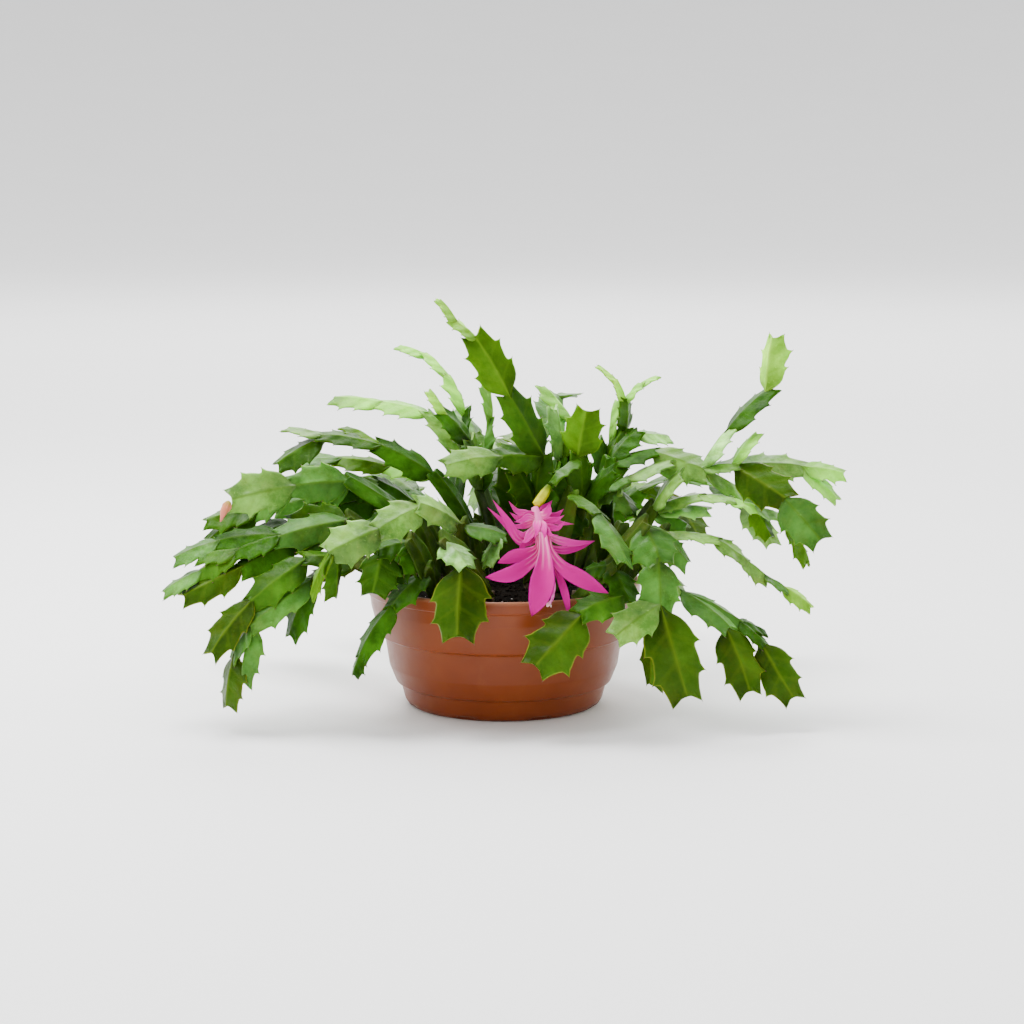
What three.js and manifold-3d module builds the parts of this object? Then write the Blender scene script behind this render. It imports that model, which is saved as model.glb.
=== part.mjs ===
// A potted Christmas cactus: a three-tiered plastic bowl filled with peat, arching stems of flat toothed
// segments that stand in it, one open flower and one bud. Millimetres, +Z up, the pot's base on z = 0.
import * as THREE from "three";
import { mergeVertices } from "three/addons/utils/BufferGeometryUtils.js";
import Module from "manifold-3d";

const manifold = await Module();
manifold.setup();

// ---- driving dimensions ----

const GAP = 0.3; // between pieces that touch
const SLIVER = 0.3; // facets narrower than this go where pieces are joined
const POT_SIDES = 36;
const POT_FLOOR = 2; // thickness of the pot's floor
const SOIL_SIDES = 20;
const SOIL_TOP = 77;
const SOIL_RADIUS = 84.6;
const SOIL_ROUGHNESS = 1.3;
const FOOT_NOTCHES = 8;
const PEG_RADIUS = 3.2; // the woody foot of a stem, in its hole in the soil
const PEG_DEPTH = 14;
const PEG_RISE = 7;
const SEGMENT_WIDTH = [21, 26]; // narrowest and widest full-grown segment
const SEGMENT_LENGTH = 50; // of the old segments between the soil and a stem's first named joint
const SEGMENT_RIB = 1.5; // half the thickness at the midrib
const SEGMENT_FOLD = [0.08, 0.38]; // how steeply the two halves of a segment slope away from its midrib
const OLD_RIB = 2.2;
const OLD_SEEN_WIDTH = 12;
const SEGMENT_SINK = 5; // how far a segment's foot reaches into the one that carries it
const SEED = 20240917;

// Outer wall of the pot from the centre of its base to its rim, then down the inner wall: [radius, height].
const POT_PROFILE = [
  [0, 0], [61, 0], [63.6, 1.1], [65.6, 4.2], [67.6, 12], [68.4, 14.2], [71.2, 15.6],
  [75.6, 26.5], [78.6, 46], [82.6, 47.6], [87.4, 66], [88.2, 74], [90, 74.8], [90.4, 81.4], [89.4, 82.6],
  [88.2, 82.6], [86, 76], [81, 49.4], [76.8, 47.4], [71, 17.6], [66.2, 15.6], [61, POT_FLOOR], [0, POT_FLOOR],
];

// One side of a segment from its pointed foot to its tip: [share of the length, share of the half width]. Two
// forward-pointing teeth stand out of the side, and a horn beside the hollow end where the next segment grows.
const SEGMENT_SIDE = [[0.17, 0.66], [0.43, 1.02], [0.48, 0.86], [0.75, 1.05], [0.8, 0.78], [1.03, 0.56]];
const OLD_SIDE = [[0.2, 0.75], [0.66, 1], [1.02, 0.6]]; // corky old segments near the soil have no teeth
const SEGMENT_END = 0.98; // where the hollow between the horns ends, as a share of the length
const SEGMENT_SPINE = [[0.22, 0.9], [0.84, 1]]; // [share of the length, share of the rib's height]

// Half the width of a petal and half its thickness at even steps from base to tip, as shares of the whole.
const PETAL_FORM = [[0.5, 1], [0.85, 1], [1, 0.9], [0.72, 0.8], [0.14, 0.6]];
const PETAL_HALF_THICKNESS = 0.55;

// ---- layout ----

// Stems are laid out in a front view: u mm to the right and v mm up at the pot's axis, as an eye in front of
// the plant and a little above it sees them, and y mm of depth, less being nearer.
const EYE = new THREE.Vector3(5.6, -1564, 356);
const EYE_AIM = [5.6, 123.5]; // the u and v straight ahead of the eye
const EYE_RANGE = 1581;
const EYE_DIP = THREE.MathUtils.degToRad(8.35);

function seen(u, v, y) {
  const across = (u - EYE_AIM[0]) / EYE_RANGE;
  const raised = (v - EYE_AIM[1]) / EYE_RANGE;
  const sight = new THREE.Vector3(
    across,
    Math.cos(EYE_DIP) + raised * Math.sin(EYE_DIP),
    raised * Math.cos(EYE_DIP) - Math.sin(EYE_DIP),
  );
  return sight.multiplyScalar((y - EYE.y) / sight.y).add(EYE);
}

// A joint is [u, v, y, width seen]. A branch leaves joint `at` of route `of`; without one, or at joint 0, the
// route leaves the soil at `root`.
const STEMS = [
  { name: "stem_left_long", root: [-44, -6], routes: [
    { joints: [[-104, 146, -26, 20], [-141, 140, -34, 25], [-180, 131, -38, 27]] },
    { of: 0, at: 2, joints: [[-164, 121, -24, 13], [-196, 117, -28, 13]] },
    { of: 0, at: 1, joints: [[-124, 132, -14, 16], [-150, 125, -12, 14]] },
    { of: 1, at: 1, joints: [[-194, 104, -30, 16]] },
  ] },
  { name: "stem_left_arch", root: [-14, 4], routes: [
    { joints: [[-47, 150, 10, 19], [-84, 168, 6, 18], [-122, 173, 0, 10], [-149, 154, -4, 14]] },
    { of: 0, at: 2, joints: [[-104, 179, 20, 5]] },
    { of: 0, at: 3, joints: [[-142, 178, 12, 6]] },
    { of: 0, at: 1, joints: [[-78, 153, 20, 13], [-110, 158, 24, 11], [-143, 154, 22, 8]] },
  ] },
  { name: "stem_left_middle", root: [-36, 22], routes: [
    { joints: [[-60, 132, 26, 9], [-84, 144, 14, 9], [-113, 147, 5, 6]] },
    { of: 0, at: 1, joints: [[-86, 137, 20, 7], [-119, 138, 6, 7]] },
    { of: 0, at: 1, joints: [[-86, 129, 10, 14], [-112, 127, 2, 13]] },
  ] },
  { name: "stem_left_back", root: [-34, 40], routes: [
    { joints: [[-25, 160, 40, 9], [-50, 190, 52, 10], [-82, 195, 60, 10], [-112, 198, 68, 9]] },
    { of: 0, at: 1, joints: [[-25, 190, 58, 6], [-37, 214, 66, 7], [-52, 228, 72, 5], [-69, 232, 78, 4]] },
  ] },
  { name: "stem_crown_left", root: [-3, 31], routes: [
    { joints: [[-16, 140, 18, 14], [-22, 172, 12, 13], [-42, 190, 8, 14], [-49, 203, 10, 9]] },
    { of: 0, at: 1, joints: [[-9, 164, 26, 8], [-30, 173, 26, 8]] },
    { of: 1, at: 1, joints: [[-9, 184, 34, 4], [-12, 213, 38, 4]] },
    { of: 0, at: 0, joints: [[7, 114, 22, 16], [2, 153, 14, 16]] },
  ] },
  { name: "stem_tall", root: [16, 0], routes: [
    { joints: [[22, 126, -4, 16], [27, 163, -8, 16], [2, 202, -14, 22], [-20, 240, -18, 24],
      [-35, 250, -18, 8], [-43, 263, -18, 3]] },
    { of: 0, at: 2, joints: [[-5, 159, -26, 20], [-39, 153, -40, 20]] },
    { of: 0, at: 1, joints: [[8, 152, -22, 18]] },
  ] },
  { name: "stem_bloom", root: [40, -14], routes: [
    { joints: [[50, 128, -18, 12], [49, 163, -24, 16], [55, 191, -24, 25]] },
    { of: 0, at: 2, joints: [[30, 141, -46, 5]] },
    { of: 0, at: 1, joints: [[35, 152, -28, 14]] },
    { of: 0, at: 1, joints: [[74, 151, -30, 14]] },
    { of: 0, at: 1, joints: [[38, 106, -36, 16]] },
  ] },
  { name: "stem_crown_right", root: [30, 34], routes: [
    { joints: [[38, 160, 32, 14], [33, 192, 34, 12]] },
    { of: 0, at: 1, joints: [[48, 184, 44, 6], [25, 206, 54, 5]] },
    { of: 0, at: 0, joints: [[47, 124, 34, 16], [48, 168, 40, 18]] },
  ] },
  { name: "stem_top_right", root: [48, 18], routes: [
    { joints: [[68, 150, 28, 12], [81, 180, 24, 14], [80, 199, 22, 12], [73, 211, 24, 5], [62, 219, 26, 4]] },
    { of: 0, at: 3, joints: [[90, 208, 28, 4], [101, 212, 32, 3]] },
    { of: 0, at: 1, joints: [[72, 172, 35, 6], [74, 196, 38, 5]] },
    { of: 0, at: 1, joints: [[62, 172, 26, 14]] },
  ] },
  { name: "stem_right_high", root: [68, 2], routes: [
    { joints: [[70, 160, -2, 12], [101, 164, -8, 9], [135, 149, -20, 20], [149, 178, -14, 6],
      [177, 205, -10, 12], [178, 239, -6, 17]] },
    { of: 0, at: 1, joints: [[89, 177, 3, 12], [109, 172, 12, 8]] },
    { of: 0, at: 3, joints: [[156, 154, -26, 9], [187, 131, -50, 26], [209, 104, -60, 26]] },
    { of: 2, at: 1, joints: [[167, 175, -20, 9]] },
    { of: 2, at: 1, joints: [[200, 152, -18, 17], [224, 148, -18, 13]] },
    { of: 4, at: 1, joints: [[219, 131, -24, 10]] },
    { of: 0, at: 3, joints: [[166, 129, -10, 6]] },
    { of: 0, at: 0, joints: [[57, 137, -4, 14], [78, 155, -10, 15]] },
    { of: 7, at: 1, joints: [[84, 146, -18, 7], [111, 156, -22, 7]] },
    { of: 7, at: 1, joints: [[79, 139, -20, 13], [84, 121, -28, 16]] },
    { of: 0, at: 0, joints: [[79, 117, 8, 17]] },
  ] },
  { name: "stem_right_middle", root: [76, -8], routes: [
    { joints: [[100, 129, -25, 12], [130, 134, -36, 8], [152, 131, -36, 6], [168, 125, -36, 5],
      [191, 116, -38, 6]] },
    { of: 0, at: 1, joints: [[117, 148, -38, 9]] },
    { of: 0, at: 1, joints: [[121, 114, -30, 10]] },
    { of: 0, at: 4, joints: [[175, 106, -42, 16]] },
    { of: 0, at: 5, joints: [[200, 89, -44, 8]] },
    { of: 0, at: 1, joints: [[135, 125, -28, 9]] },
  ] },
  { name: "stem_front_centre", root: [34, -40], routes: [
    { joints: [[46, 139, -46, 9], [64, 121, -80, 8], [80, 90, -106, 13]] },
  ] },
  { name: "stem_front_right", root: [46, -54], routes: [
    { joints: [[74, 90, -72, 10], [82, 63, -88, 14], [49, 56, -106, 18], [20, 21, -114, 32]] },
    { of: 0, at: 1, joints: [[54, 84, -66, 13]] },
  ] },
  { name: "stem_right_front", root: [58, -44], routes: [
    { joints: [[95, 118, -76, 12], [103, 89, -92, 29], [103, 57, -102, 26], [121, 0, -110, 32]] },
    { of: 0, at: 3, joints: [[73, 41, -116, 23]] },
    { of: 0, at: 3, joints: [[99, 9, -96, 18]] },
    { of: 0, at: 1, joints: [[121, 89, -70, 15]] },
  ] },
  { name: "stem_right_low", root: [76, -22], routes: [
    { joints: [[92, 100, -40, 12], [118, 68, -64, 12], [149, 46, -80, 14], [162, 4, -94, 24]] },
    { of: 0, at: 2, joints: [[158, 49, -68, 11], [172, 35, -78, 10], [191, 0, -88, 24]] },
    { of: 1, at: 1, joints: [[172, 44, -62, 8]] },
    { of: 0, at: 0, joints: [[109, 112, -50, 8], [142, 105, -54, 6], [160, 90, -56, 10], [174, 78, -58, 10],
      [187, 71, -60, 5], [202, 60, -62, 12]] },
  ] },
  { name: "stem_front", root: [-8, -54], routes: [
    { joints: [[-42, 107, -80, 12], [-24, 87, -94, 17], [-30, 40, -110, 33]] },
  ] },
  { name: "stem_left_inner", root: [-22, -36], routes: [
    { joints: [[-28, 118, -50, 12], [-57, 129, -70, 17], [-83, 111, -88, 23], [-116, 96, -94, 25],
      [-112, 67, -92, 12]] },
    { of: 0, at: 4, joints: [[-126, 68, -90, 6]] },
    { of: 0, at: 1, joints: [[2, 107, -48, 10], [-11, 87, -58, 9]] },
  ] },
  { name: "stem_left_front", root: [-44, -52], routes: [
    { joints: [[-63, 107, -66, 14], [-84, 97, -74, 12], [-86, 69, -82, 26]] },
    { of: 0, at: 1, joints: [[-60, 82, -74, 16]] },
    { of: 0, at: 1, joints: [[-72, 76, -62, 14]] },
    { of: 0, at: 0, joints: [[-50, 88, -64, 13], [-74, 60, -86, 15], [-94, 28, -90, 14], [-98, 16, -90, 12]] },
  ] },
  { name: "stem_left_low", root: [-62, -20], routes: [
    { joints: [[-104, 121, -46, 16], [-150, 106, -56, 21], [-177, 96, -60, 13], [-201, 82, -62, 12],
      [-223, 70, -62, 10]] },
    { of: 0, at: 3, joints: [[-200, 93, -52, 7]] },
    { of: 0, at: 1, joints: [[-142, 115, -32, 20], [-172, 103, -30, 15]] },
    { of: 0, at: 2, joints: [[-190, 103, -46, 16], [-216, 92, -46, 12]] },
    { of: 0, at: 1, joints: [[-140, 102, -50, 14], [-174, 85, -66, 19], [-211, 67, -70, 17]] },
  ] },
  { name: "stem_left_hang", root: [-58, -44], routes: [
    { joints: [[-100, 92, -60, 12], [-132, 94, -74, 13], [-167, 63, -82, 20], [-192, 29, -90, 19]] },
    { of: 0, at: 1, joints: [[-128, 78, -74, 11], [-168, 47, -90, 20], [-171, 10, -94, 11]] },
    { of: 1, at: 2, joints: [[-178, 26, -86, 9], [-181, -5, -90, 14]] },
    { of: 1, at: 1, joints: [[-140, 41, -72, 14]] },
  ] },
];

// The open flower hangs from the tip of the bloom's stem: an ovary, a tube and two whorls of recurved petals.
const OVARY = [[29.9, 140.2, -46.2], [24.5, 132, -51.5], [21.6, 128.4, -54]];
const TUBE = [[20.6, 126.2, -56], [23, 116, -62], [26, 104, -70], [28, 91, -80]];
const STAMENS = [[28.6, 88, -84], [33.4, 76, -93], [32, 67, -97], [28.6, 61.5, -97]];
// Petals: [widest, route points [u, v, y] from base to tip].
const PETALS = [
  [7, [[24, 106, -66], [12, 100, -64], [2, 112, -60], [-10, 126.5, -56]]],
  [8, [[22, 106, -70], [11, 104, -72], [4, 116, -68], [-8, 132, -64]]],
  [6, [[22, 120, -58], [14, 122, -56], [8, 124, -54], [3.5, 130.5, -52]]],
  [7, [[22, 118, -62], [15, 115, -66], [9, 118, -68], [5, 123, -68]]],
  [8, [[23, 116, -64], [18, 107, -70], [13, 107, -74], [9, 112, -75]]],
  [6, [[22, 122, -58], [19, 127, -63], [14, 128, -65], [10, 125, -67]]],
  [8, [[23, 121, -60], [26, 122, -67], [25, 115, -72], [22, 110, -75]]],
  [8, [[22, 120, -58], [28, 124, -55], [31, 128, -52], [32, 131, -49]]],
  [8, [[23, 118, -60], [30, 120, -60], [36, 119, -62], [39.5, 124, -62]]],
  [4, [[24, 116, -62], [32, 117.5, -64], [39, 115.5, -66], [46.5, 115.5, -66]]],
  [5, [[25, 114, -64], [33, 112, -70], [39, 112, -72], [42, 118, -72]]],
  [7, [[26, 110, -66], [36, 107, -70], [48, 104, -72], [60, 105, -70]]],
  [6, [[28, 101, -72], [37, 98, -72], [48, 99, -70], [58, 103.5, -64]]],
  [9, [[26, 94, -77], [16, 95, -82], [6, 94, -86], [-4, 90, -88]]],
  [10, [[27, 92, -79], [15, 88, -88], [3, 82, -93], [-12, 80.5, -94]]],
  [17, [[28, 94, -79], [27, 84, -93], [25, 72, -99], [19.5, 55, -100]]],
  [12, [[28, 94, -78], [38, 87, -87], [53, 79, -92], [69, 69.5, -92]]],
  [5, [[29, 92, -79], [37, 80, -84], [41, 68, -93], [43.5, 53.5, -96]]],
];
const BUD = [[-180.5, 130.3, -39.5], [-183.5, 124.1, -41], [-185.9, 117.2, -41]];

// The far side and the crown are filled by stems that a rule lays out: [how many, bearings in degrees that they
// span, radius of their feet, rise of each segment in degrees, bearing between their two ends].
const RULE_STEMS = [
  { name: "stem_far", count: 5, bearings: [36, 152], root: 64, rises: [48, 30, 12, -8, -28, -46], fork: 24 },
  { name: "stem_behind", count: 2, bearings: [76, 104], root: 50, rises: [72, 58, 44, 20, -6], fork: 26 },
];

// ---- small helpers ----

let drawn = SEED;

function draw(from, to) {
  drawn = (drawn * 16807) % 2147483647;
  return from + ((to - from) * drawn) / 2147483647;
}

function solidOf(geometry) {
  const bare = new THREE.BufferGeometry();
  bare.setAttribute("position", geometry.getAttribute("position"));
  bare.setIndex(geometry.index);
  const merged = mergeVertices(bare, 1e-4);
  const kept = [];
  const index = merged.index.array;
  for (let i = 0; i < index.length; i += 3) {
    const [a, b, c] = [index[i], index[i + 1], index[i + 2]];
    if (a !== b && b !== c && c !== a) kept.push(a, b, c);
  }
  return new manifold.Manifold(new manifold.Mesh({
    numProp: 3,
    vertProperties: merged.attributes.position.array,
    triVerts: new Uint32Array(kept),
  }));
}

function geometryOf(solid) {
  const mesh = solid.getMesh();
  const geometry = new THREE.BufferGeometry();
  geometry.setAttribute("position", new THREE.Float32BufferAttribute(mesh.vertProperties, 3));
  geometry.setIndex(new THREE.Uint32BufferAttribute(mesh.triVerts, 1));
  geometry.computeVertexNormals();
  return geometry;
}

function geometryFrom(points, faces) {
  const geometry = new THREE.BufferGeometry();
  geometry.setAttribute("position", new THREE.Float32BufferAttribute(points.flatMap((p) => p.toArray()), 3));
  geometry.setIndex(faces);
  return geometry;
}

// The part of `v` square to the unit vector `axis`, at length 1.
function squareTo(axis, v) {
  return v.clone().addScaledVector(axis, -v.dot(axis)).normalize();
}

function bezier(a, b, c, t) {
  const point = a.clone().multiplyScalar((1 - t) * (1 - t));
  return point.addScaledVector(b, 2 * t * (1 - t)).addScaledVector(c, t * t);
}

// ---- one segment ----

// A leaf-like segment from `foot` to `tip`: a lens in section, thick at its rib and sharp at its toothed edge,
// bulged along its length by `arch` towards `face`, the way its flat side looks, and folded along its rib.
function segment(foot, tip, width, face, form = SEGMENT_SIDE, rib = SEGMENT_RIB) {
  const axis = tip.clone().sub(foot);
  const length = axis.length();
  axis.normalize();
  const up = squareTo(axis, face);
  const side = new THREE.Vector3().crossVectors(up, axis);
  const arch = 0.035 * length;
  const fold = form === SEGMENT_SIDE ? draw(...SEGMENT_FOLD) : 0;
  const place = (along, across, lift) => {
    const bulge = 4 * arch * along * (1 - along);
    return foot.clone().addScaledVector(axis, along * length).addScaledVector(side, across)
      .addScaledVector(up, lift + bulge - fold * Math.abs(across));
  };
  const points = [];
  const sides = [1, -1].map((hand) => form.map(([along, across]) => {
    const jitter = across > 0.9 ? draw(-0.03, 0.03) : 0;
    points.push(place(along + jitter, (hand * across * width) / 2, 0));
    return points.length - 1;
  }));
  const spines = [1, -1].map((hand) => SEGMENT_SPINE.map(([along, height]) => {
    points.push(place(along, 0, hand * rib * height));
    return points.length - 1;
  }));
  points.push(place(0, 0, 0), place(SEGMENT_END, 0, 0));
  const [root, end] = [points.length - 2, points.length - 1];
  const faces = [];
  spines.forEach(([low, high], under) => sides.forEach((edge, other) => {
    const add = (a, b, c) => faces.push(...(under === other ? [a, c, b] : [a, b, c]));
    add(root, edge[0], low);
    edge.slice(1).forEach((to, i) => add(edge[i], to, i < 1 ? low : high));
    add(edge[1], high, low);
    add(edge[edge.length - 1], end, high);
  }));
  return geometryFrom(points, faces);
}

// The way a segment's flat side looks when the eye sees it `seenWidth` wide: turned skyward from the eye.
function faceFor(foot, tip, seenWidth, width) {
  const axis = tip.clone().sub(foot).normalize();
  const toEye = squareTo(axis, EYE.clone().sub(foot));
  const edge = new THREE.Vector3().crossVectors(axis, toEye);
  if (edge.z < 0) edge.negate();
  const turn = Math.acos(Math.min(1, seenWidth / width));
  return toEye.multiplyScalar(Math.cos(turn)).addScaledVector(edge, Math.sin(turn));
}

// ---- stems ----

function crownPoint([x, y]) {
  return new THREE.Vector3(x, y, SOIL_TOP + PEG_RISE - 0.5);
}

// The woody foot of a stem, from inside its hole in the soil to where it branches.
function peg(root, radius, depth, rise) {
  const foot = new THREE.CylinderGeometry(radius * 0.75, radius, depth + rise, 6);
  foot.rotateX(Math.PI / 2);
  foot.translate(root[0], root[1], SOIL_TOP + (rise - depth) / 2);
  return foot;
}

// Segments along the route of a stem; the first stretch from the soil is cut in old segments of even length.
function stemPieces(stem) {
  const skyward = new THREE.Vector3(0, 0, 1);
  const reached = [];
  const pieces = [peg(stem.root, PEG_RADIUS, PEG_DEPTH, PEG_RISE)];
  const grow = (from, tip, seenWidth, ...form) => {
    const full = Math.max(draw(...SEGMENT_WIDTH), seenWidth / 0.97);
    const young = Math.min(1, 0.35 + from.point.distanceTo(tip) / 45);
    const foot = from.point.clone().addScaledVector(from.way, -SEGMENT_SINK);
    const face = faceFor(from.point, tip, seenWidth, full);
    pieces.push(segment(foot, tip, Math.max(full * young, seenWidth), face, ...form));
    return { point: tip, way: tip.clone().sub(foot).normalize() };
  };
  for (const route of stem.routes) {
    let from = route.at ? reached[route.of][route.at] : { point: crownPoint(stem.root), way: skyward };
    const joints = [from];
    route.joints.forEach(([u, v, y, seenWidth], i) => {
      const tip = seen(u, v, y);
      const start = from.point;
      const reach = start.distanceTo(tip);
      const old = i === 0 && !route.at;
      const steps = old ? Math.max(1, Math.round(reach / SEGMENT_LENGTH)) : 1;
      const bend = old ? start.clone().addScaledVector(skyward, 0.5 * reach) : start.clone().lerp(tip, 0.5);
      for (let step = 1; step <= steps; step += 1) {
        const to = bezier(start, bend, tip, step / steps);
        from = old ? grow(from, to, OLD_SEEN_WIDTH, OLD_SIDE, OLD_RIB) : grow(from, to, seenWidth);
      }
      joints.push(from);
    });
    reached.push(joints);
  }
  return pieces;
}

// Segments of a stem that arches out on a bearing and forks halfway; its flat sides look up and outward.
function ruledPieces(rule, bearing) {
  const heading = THREE.MathUtils.degToRad(bearing);
  const root = [rule.root * Math.cos(heading), rule.root * Math.sin(heading)];
  const pieces = [peg(root, PEG_RADIUS, PEG_DEPTH, PEG_RISE)];
  const run = (start, rises, turn) => rises.map((rise) => {
    const pitch = THREE.MathUtils.degToRad(rise + draw(-7, 7));
    const way = heading + turn + THREE.MathUtils.degToRad(draw(-8, 8));
    const flat = new THREE.Vector3(Math.cos(way), Math.sin(way), 0);
    const axis = flat.clone().multiplyScalar(Math.cos(pitch)).setZ(Math.sin(pitch));
    const tip = start.point.clone().addScaledVector(axis, draw(33, 40));
    const lean = THREE.MathUtils.degToRad(draw(-35, 35));
    const face = new THREE.Vector3(flat.y, -flat.x, 0).multiplyScalar(Math.sin(lean))
      .addScaledVector(flat, 0.4).setZ(Math.cos(lean));
    const foot = start.point.clone().addScaledVector(start.way, -SEGMENT_SINK);
    pieces.push(segment(foot, tip, draw(...SEGMENT_WIDTH), face));
    start = { point: tip, way: tip.clone().sub(foot).normalize() };
    return start;
  });
  const main = run({ point: crownPoint(root), way: new THREE.Vector3(0, 0, 1) }, rule.rises, 0);
  const fork = THREE.MathUtils.degToRad(rule.fork);
  run(main[1], rule.rises.slice(3), bearing < 90 ? fork : -fork);
  return { root, pieces };
}

// ---- flower and bud ----

// A round body along a route of [u, v, y] points, closed at both ends, with a radius at each even step.
function limb(route, radii, sides = 8) {
  const line = new THREE.CatmullRomCurve3(route.map((point) => seen(...point)));
  return swept(line, radii.map((radius) => [radius, radius]), sides);
}

// A thin pointed petal along a route, its flat side to the eye.
function petal(widest, route) {
  const line = new THREE.CatmullRomCurve3(route.map((point) => seen(...point)));
  return swept(line, PETAL_FORM.map(([wide, thick]) => [(wide * widest) / 2, thick * PETAL_HALF_THICKNESS]), 4);
}

// Rings of points round a curve at even steps, each with half its width and half its depth towards the eye.
function swept(line, halves, sides) {
  const points = [];
  const faces = [];
  const last = halves.length - 1;
  halves.forEach(([wide, deep], step) => {
    const centre = line.getPointAt(step / last);
    const along = line.getTangentAt(step / last);
    const face = squareTo(along, EYE.clone().sub(centre));
    const side = new THREE.Vector3().crossVectors(face, along);
    for (let i = 0; i < sides; i += 1) {
      const angle = (2 * Math.PI * i) / sides;
      points.push(centre.clone().addScaledVector(side, wide * Math.cos(angle))
        .addScaledVector(face, deep * Math.sin(angle)));
      const [a, b] = [step * sides + i, step * sides + ((i + 1) % sides)];
      if (step < last) faces.push(a, b, a + sides, b, b + sides, a + sides);
      if (i > 0 && i < sides - 1) {
        if (step === 0) faces.push(0, a + 1, a);
        if (step === last) faces.push(step * sides, a, a + 1);
      }
    }
  });
  return geometryFrom(points, faces);
}

function fuse(pieces) {
  return pieces.map(solidOf).reduce((whole, piece) => whole.add(piece)).simplify(SLIVER);
}

// ---- pot and soil ----

function pot() {
  const profile = POT_PROFILE.map(([radius, height]) => new THREE.Vector2(radius, height));
  const wall = new THREE.LatheGeometry(profile, POT_SIDES);
  wall.rotateX(Math.PI / 2);
  let solid = solidOf(wall);
  for (let i = 0; i < FOOT_NOTCHES; i += 1) {
    const notch = new THREE.BoxGeometry(5, 13, 4.4);
    notch.translate(66.2, 0, 0.4);
    notch.rotateZ(((i + 0.5) * 2 * Math.PI) / FOOT_NOTCHES);
    solid = solid.subtract(solidOf(notch));
  }
  return solid;
}

// The peat: the pot's inside less a gap, with a lumpy top and a hole for each stem's foot.
function soil(roots) {
  const wall = [
    [0, POT_FLOOR + GAP], [60.4, POT_FLOOR + GAP], [65.6, 15.9], [70.4, 18], [76.2, 47.8],
    [80.4, 49.8], [SOIL_RADIUS, 73],
  ];
  const crown = [79, 60, 34, 0].map((radius) => [radius, SOIL_TOP]);
  const profile = [...wall, ...crown].map(([radius, height]) => new THREE.Vector2(radius, height));
  const heap = new THREE.LatheGeometry(profile, SOIL_SIDES);
  heap.rotateX(Math.PI / 2);
  const points = heap.getAttribute("position");
  for (let i = 0; i < points.count; i += 1) {
    const [x, y, z] = [points.getX(i), points.getY(i), points.getZ(i)];
    const lump = Math.sin(x * 0.61 + y * 0.23) + Math.sin(y * 0.47 - x * 0.31 + 1.7);
    const centre = Math.hypot(x, y) < 1e-3;
    if (z > SOIL_TOP - 0.5) points.setZ(i, z + (centre ? 0 : lump * SOIL_ROUGHNESS * 0.5));
  }
  let solid = solidOf(heap);
  for (const root of roots) {
    const hole = peg(root, PEG_RADIUS + GAP, PEG_DEPTH + GAP, 20);
    solid = solid.subtract(solidOf(hole));
  }
  return solid;
}

// ---- assembly ----

const GREEN = { color: 0x5c8f2e, roughness: 0.5, metalness: 0 };
const group = new THREE.Group();

function addMesh(name, solid, looks) {
  const mesh = new THREE.Mesh(geometryOf(solid), new THREE.MeshStandardMaterial(looks));
  mesh.name = name;
  group.add(mesh);
}

const roots = [];
for (const stem of STEMS) {
  roots.push(stem.root);
  addMesh(stem.name, fuse(stemPieces(stem)), GREEN);
}
for (const rule of RULE_STEMS) {
  for (let i = 0; i < rule.count; i += 1) {
    const [first, last] = rule.bearings;
    const made = ruledPieces(rule, first + ((last - first) * i) / (rule.count - 1));
    roots.push(made.root);
    addMesh(`${rule.name}_${i + 1}`, fuse(made.pieces), GREEN);
  }
}
const tube = limb(TUBE, [2.4, 4.4, 5, 5.2]);
addMesh("bloom_petals", fuse([tube, ...PETALS.map(([widest, route]) => petal(widest, route))]),
  { color: 0xe000a0, roughness: 0.5, metalness: 0 });
addMesh("bloom_ovary", fuse([limb(OVARY, [2.2, 3.2, 2.9])]),
  { color: 0xc8d040, roughness: 0.45, metalness: 0 });
addMesh("bloom_stamens", fuse([limb(STAMENS, [0.8, 0.8, 0.8, 0.8, 1.9, 1], 6)]),
  { color: 0xf0a0c8, roughness: 0.6, metalness: 0 });
addMesh("bud", fuse([limb(BUD, [1.6, 2.9, 2.4, 0.5])]), { color: 0xd8785a, roughness: 0.5, metalness: 0 });
addMesh("pot", pot(), { color: 0x8a4a32, roughness: 0.45, metalness: 0 });
addMesh("soil", soil(roots), { color: 0x1a1410, roughness: 0.95, metalness: 0 });

export default group;
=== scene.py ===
"""Looks of the potted christmas cactus: fine stems, flower, bud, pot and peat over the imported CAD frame."""
from math import acos, atan2, cos, exp, floor, hypot, pi, radians, sin, sqrt

import bpy
import numpy as np
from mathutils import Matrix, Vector


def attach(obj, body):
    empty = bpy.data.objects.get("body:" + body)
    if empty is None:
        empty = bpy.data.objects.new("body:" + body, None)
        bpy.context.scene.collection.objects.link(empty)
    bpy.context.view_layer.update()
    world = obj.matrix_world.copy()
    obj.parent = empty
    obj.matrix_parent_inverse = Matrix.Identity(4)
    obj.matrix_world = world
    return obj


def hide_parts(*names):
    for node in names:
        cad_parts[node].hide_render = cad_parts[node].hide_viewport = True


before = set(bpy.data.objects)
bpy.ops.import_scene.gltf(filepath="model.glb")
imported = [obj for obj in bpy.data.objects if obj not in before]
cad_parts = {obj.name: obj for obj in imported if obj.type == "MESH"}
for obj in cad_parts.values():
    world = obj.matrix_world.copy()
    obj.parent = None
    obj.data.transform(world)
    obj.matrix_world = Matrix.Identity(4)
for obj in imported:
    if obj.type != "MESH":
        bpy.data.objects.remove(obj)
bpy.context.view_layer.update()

# ---- sizes, in millimetres as in the CAD source ----

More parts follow.
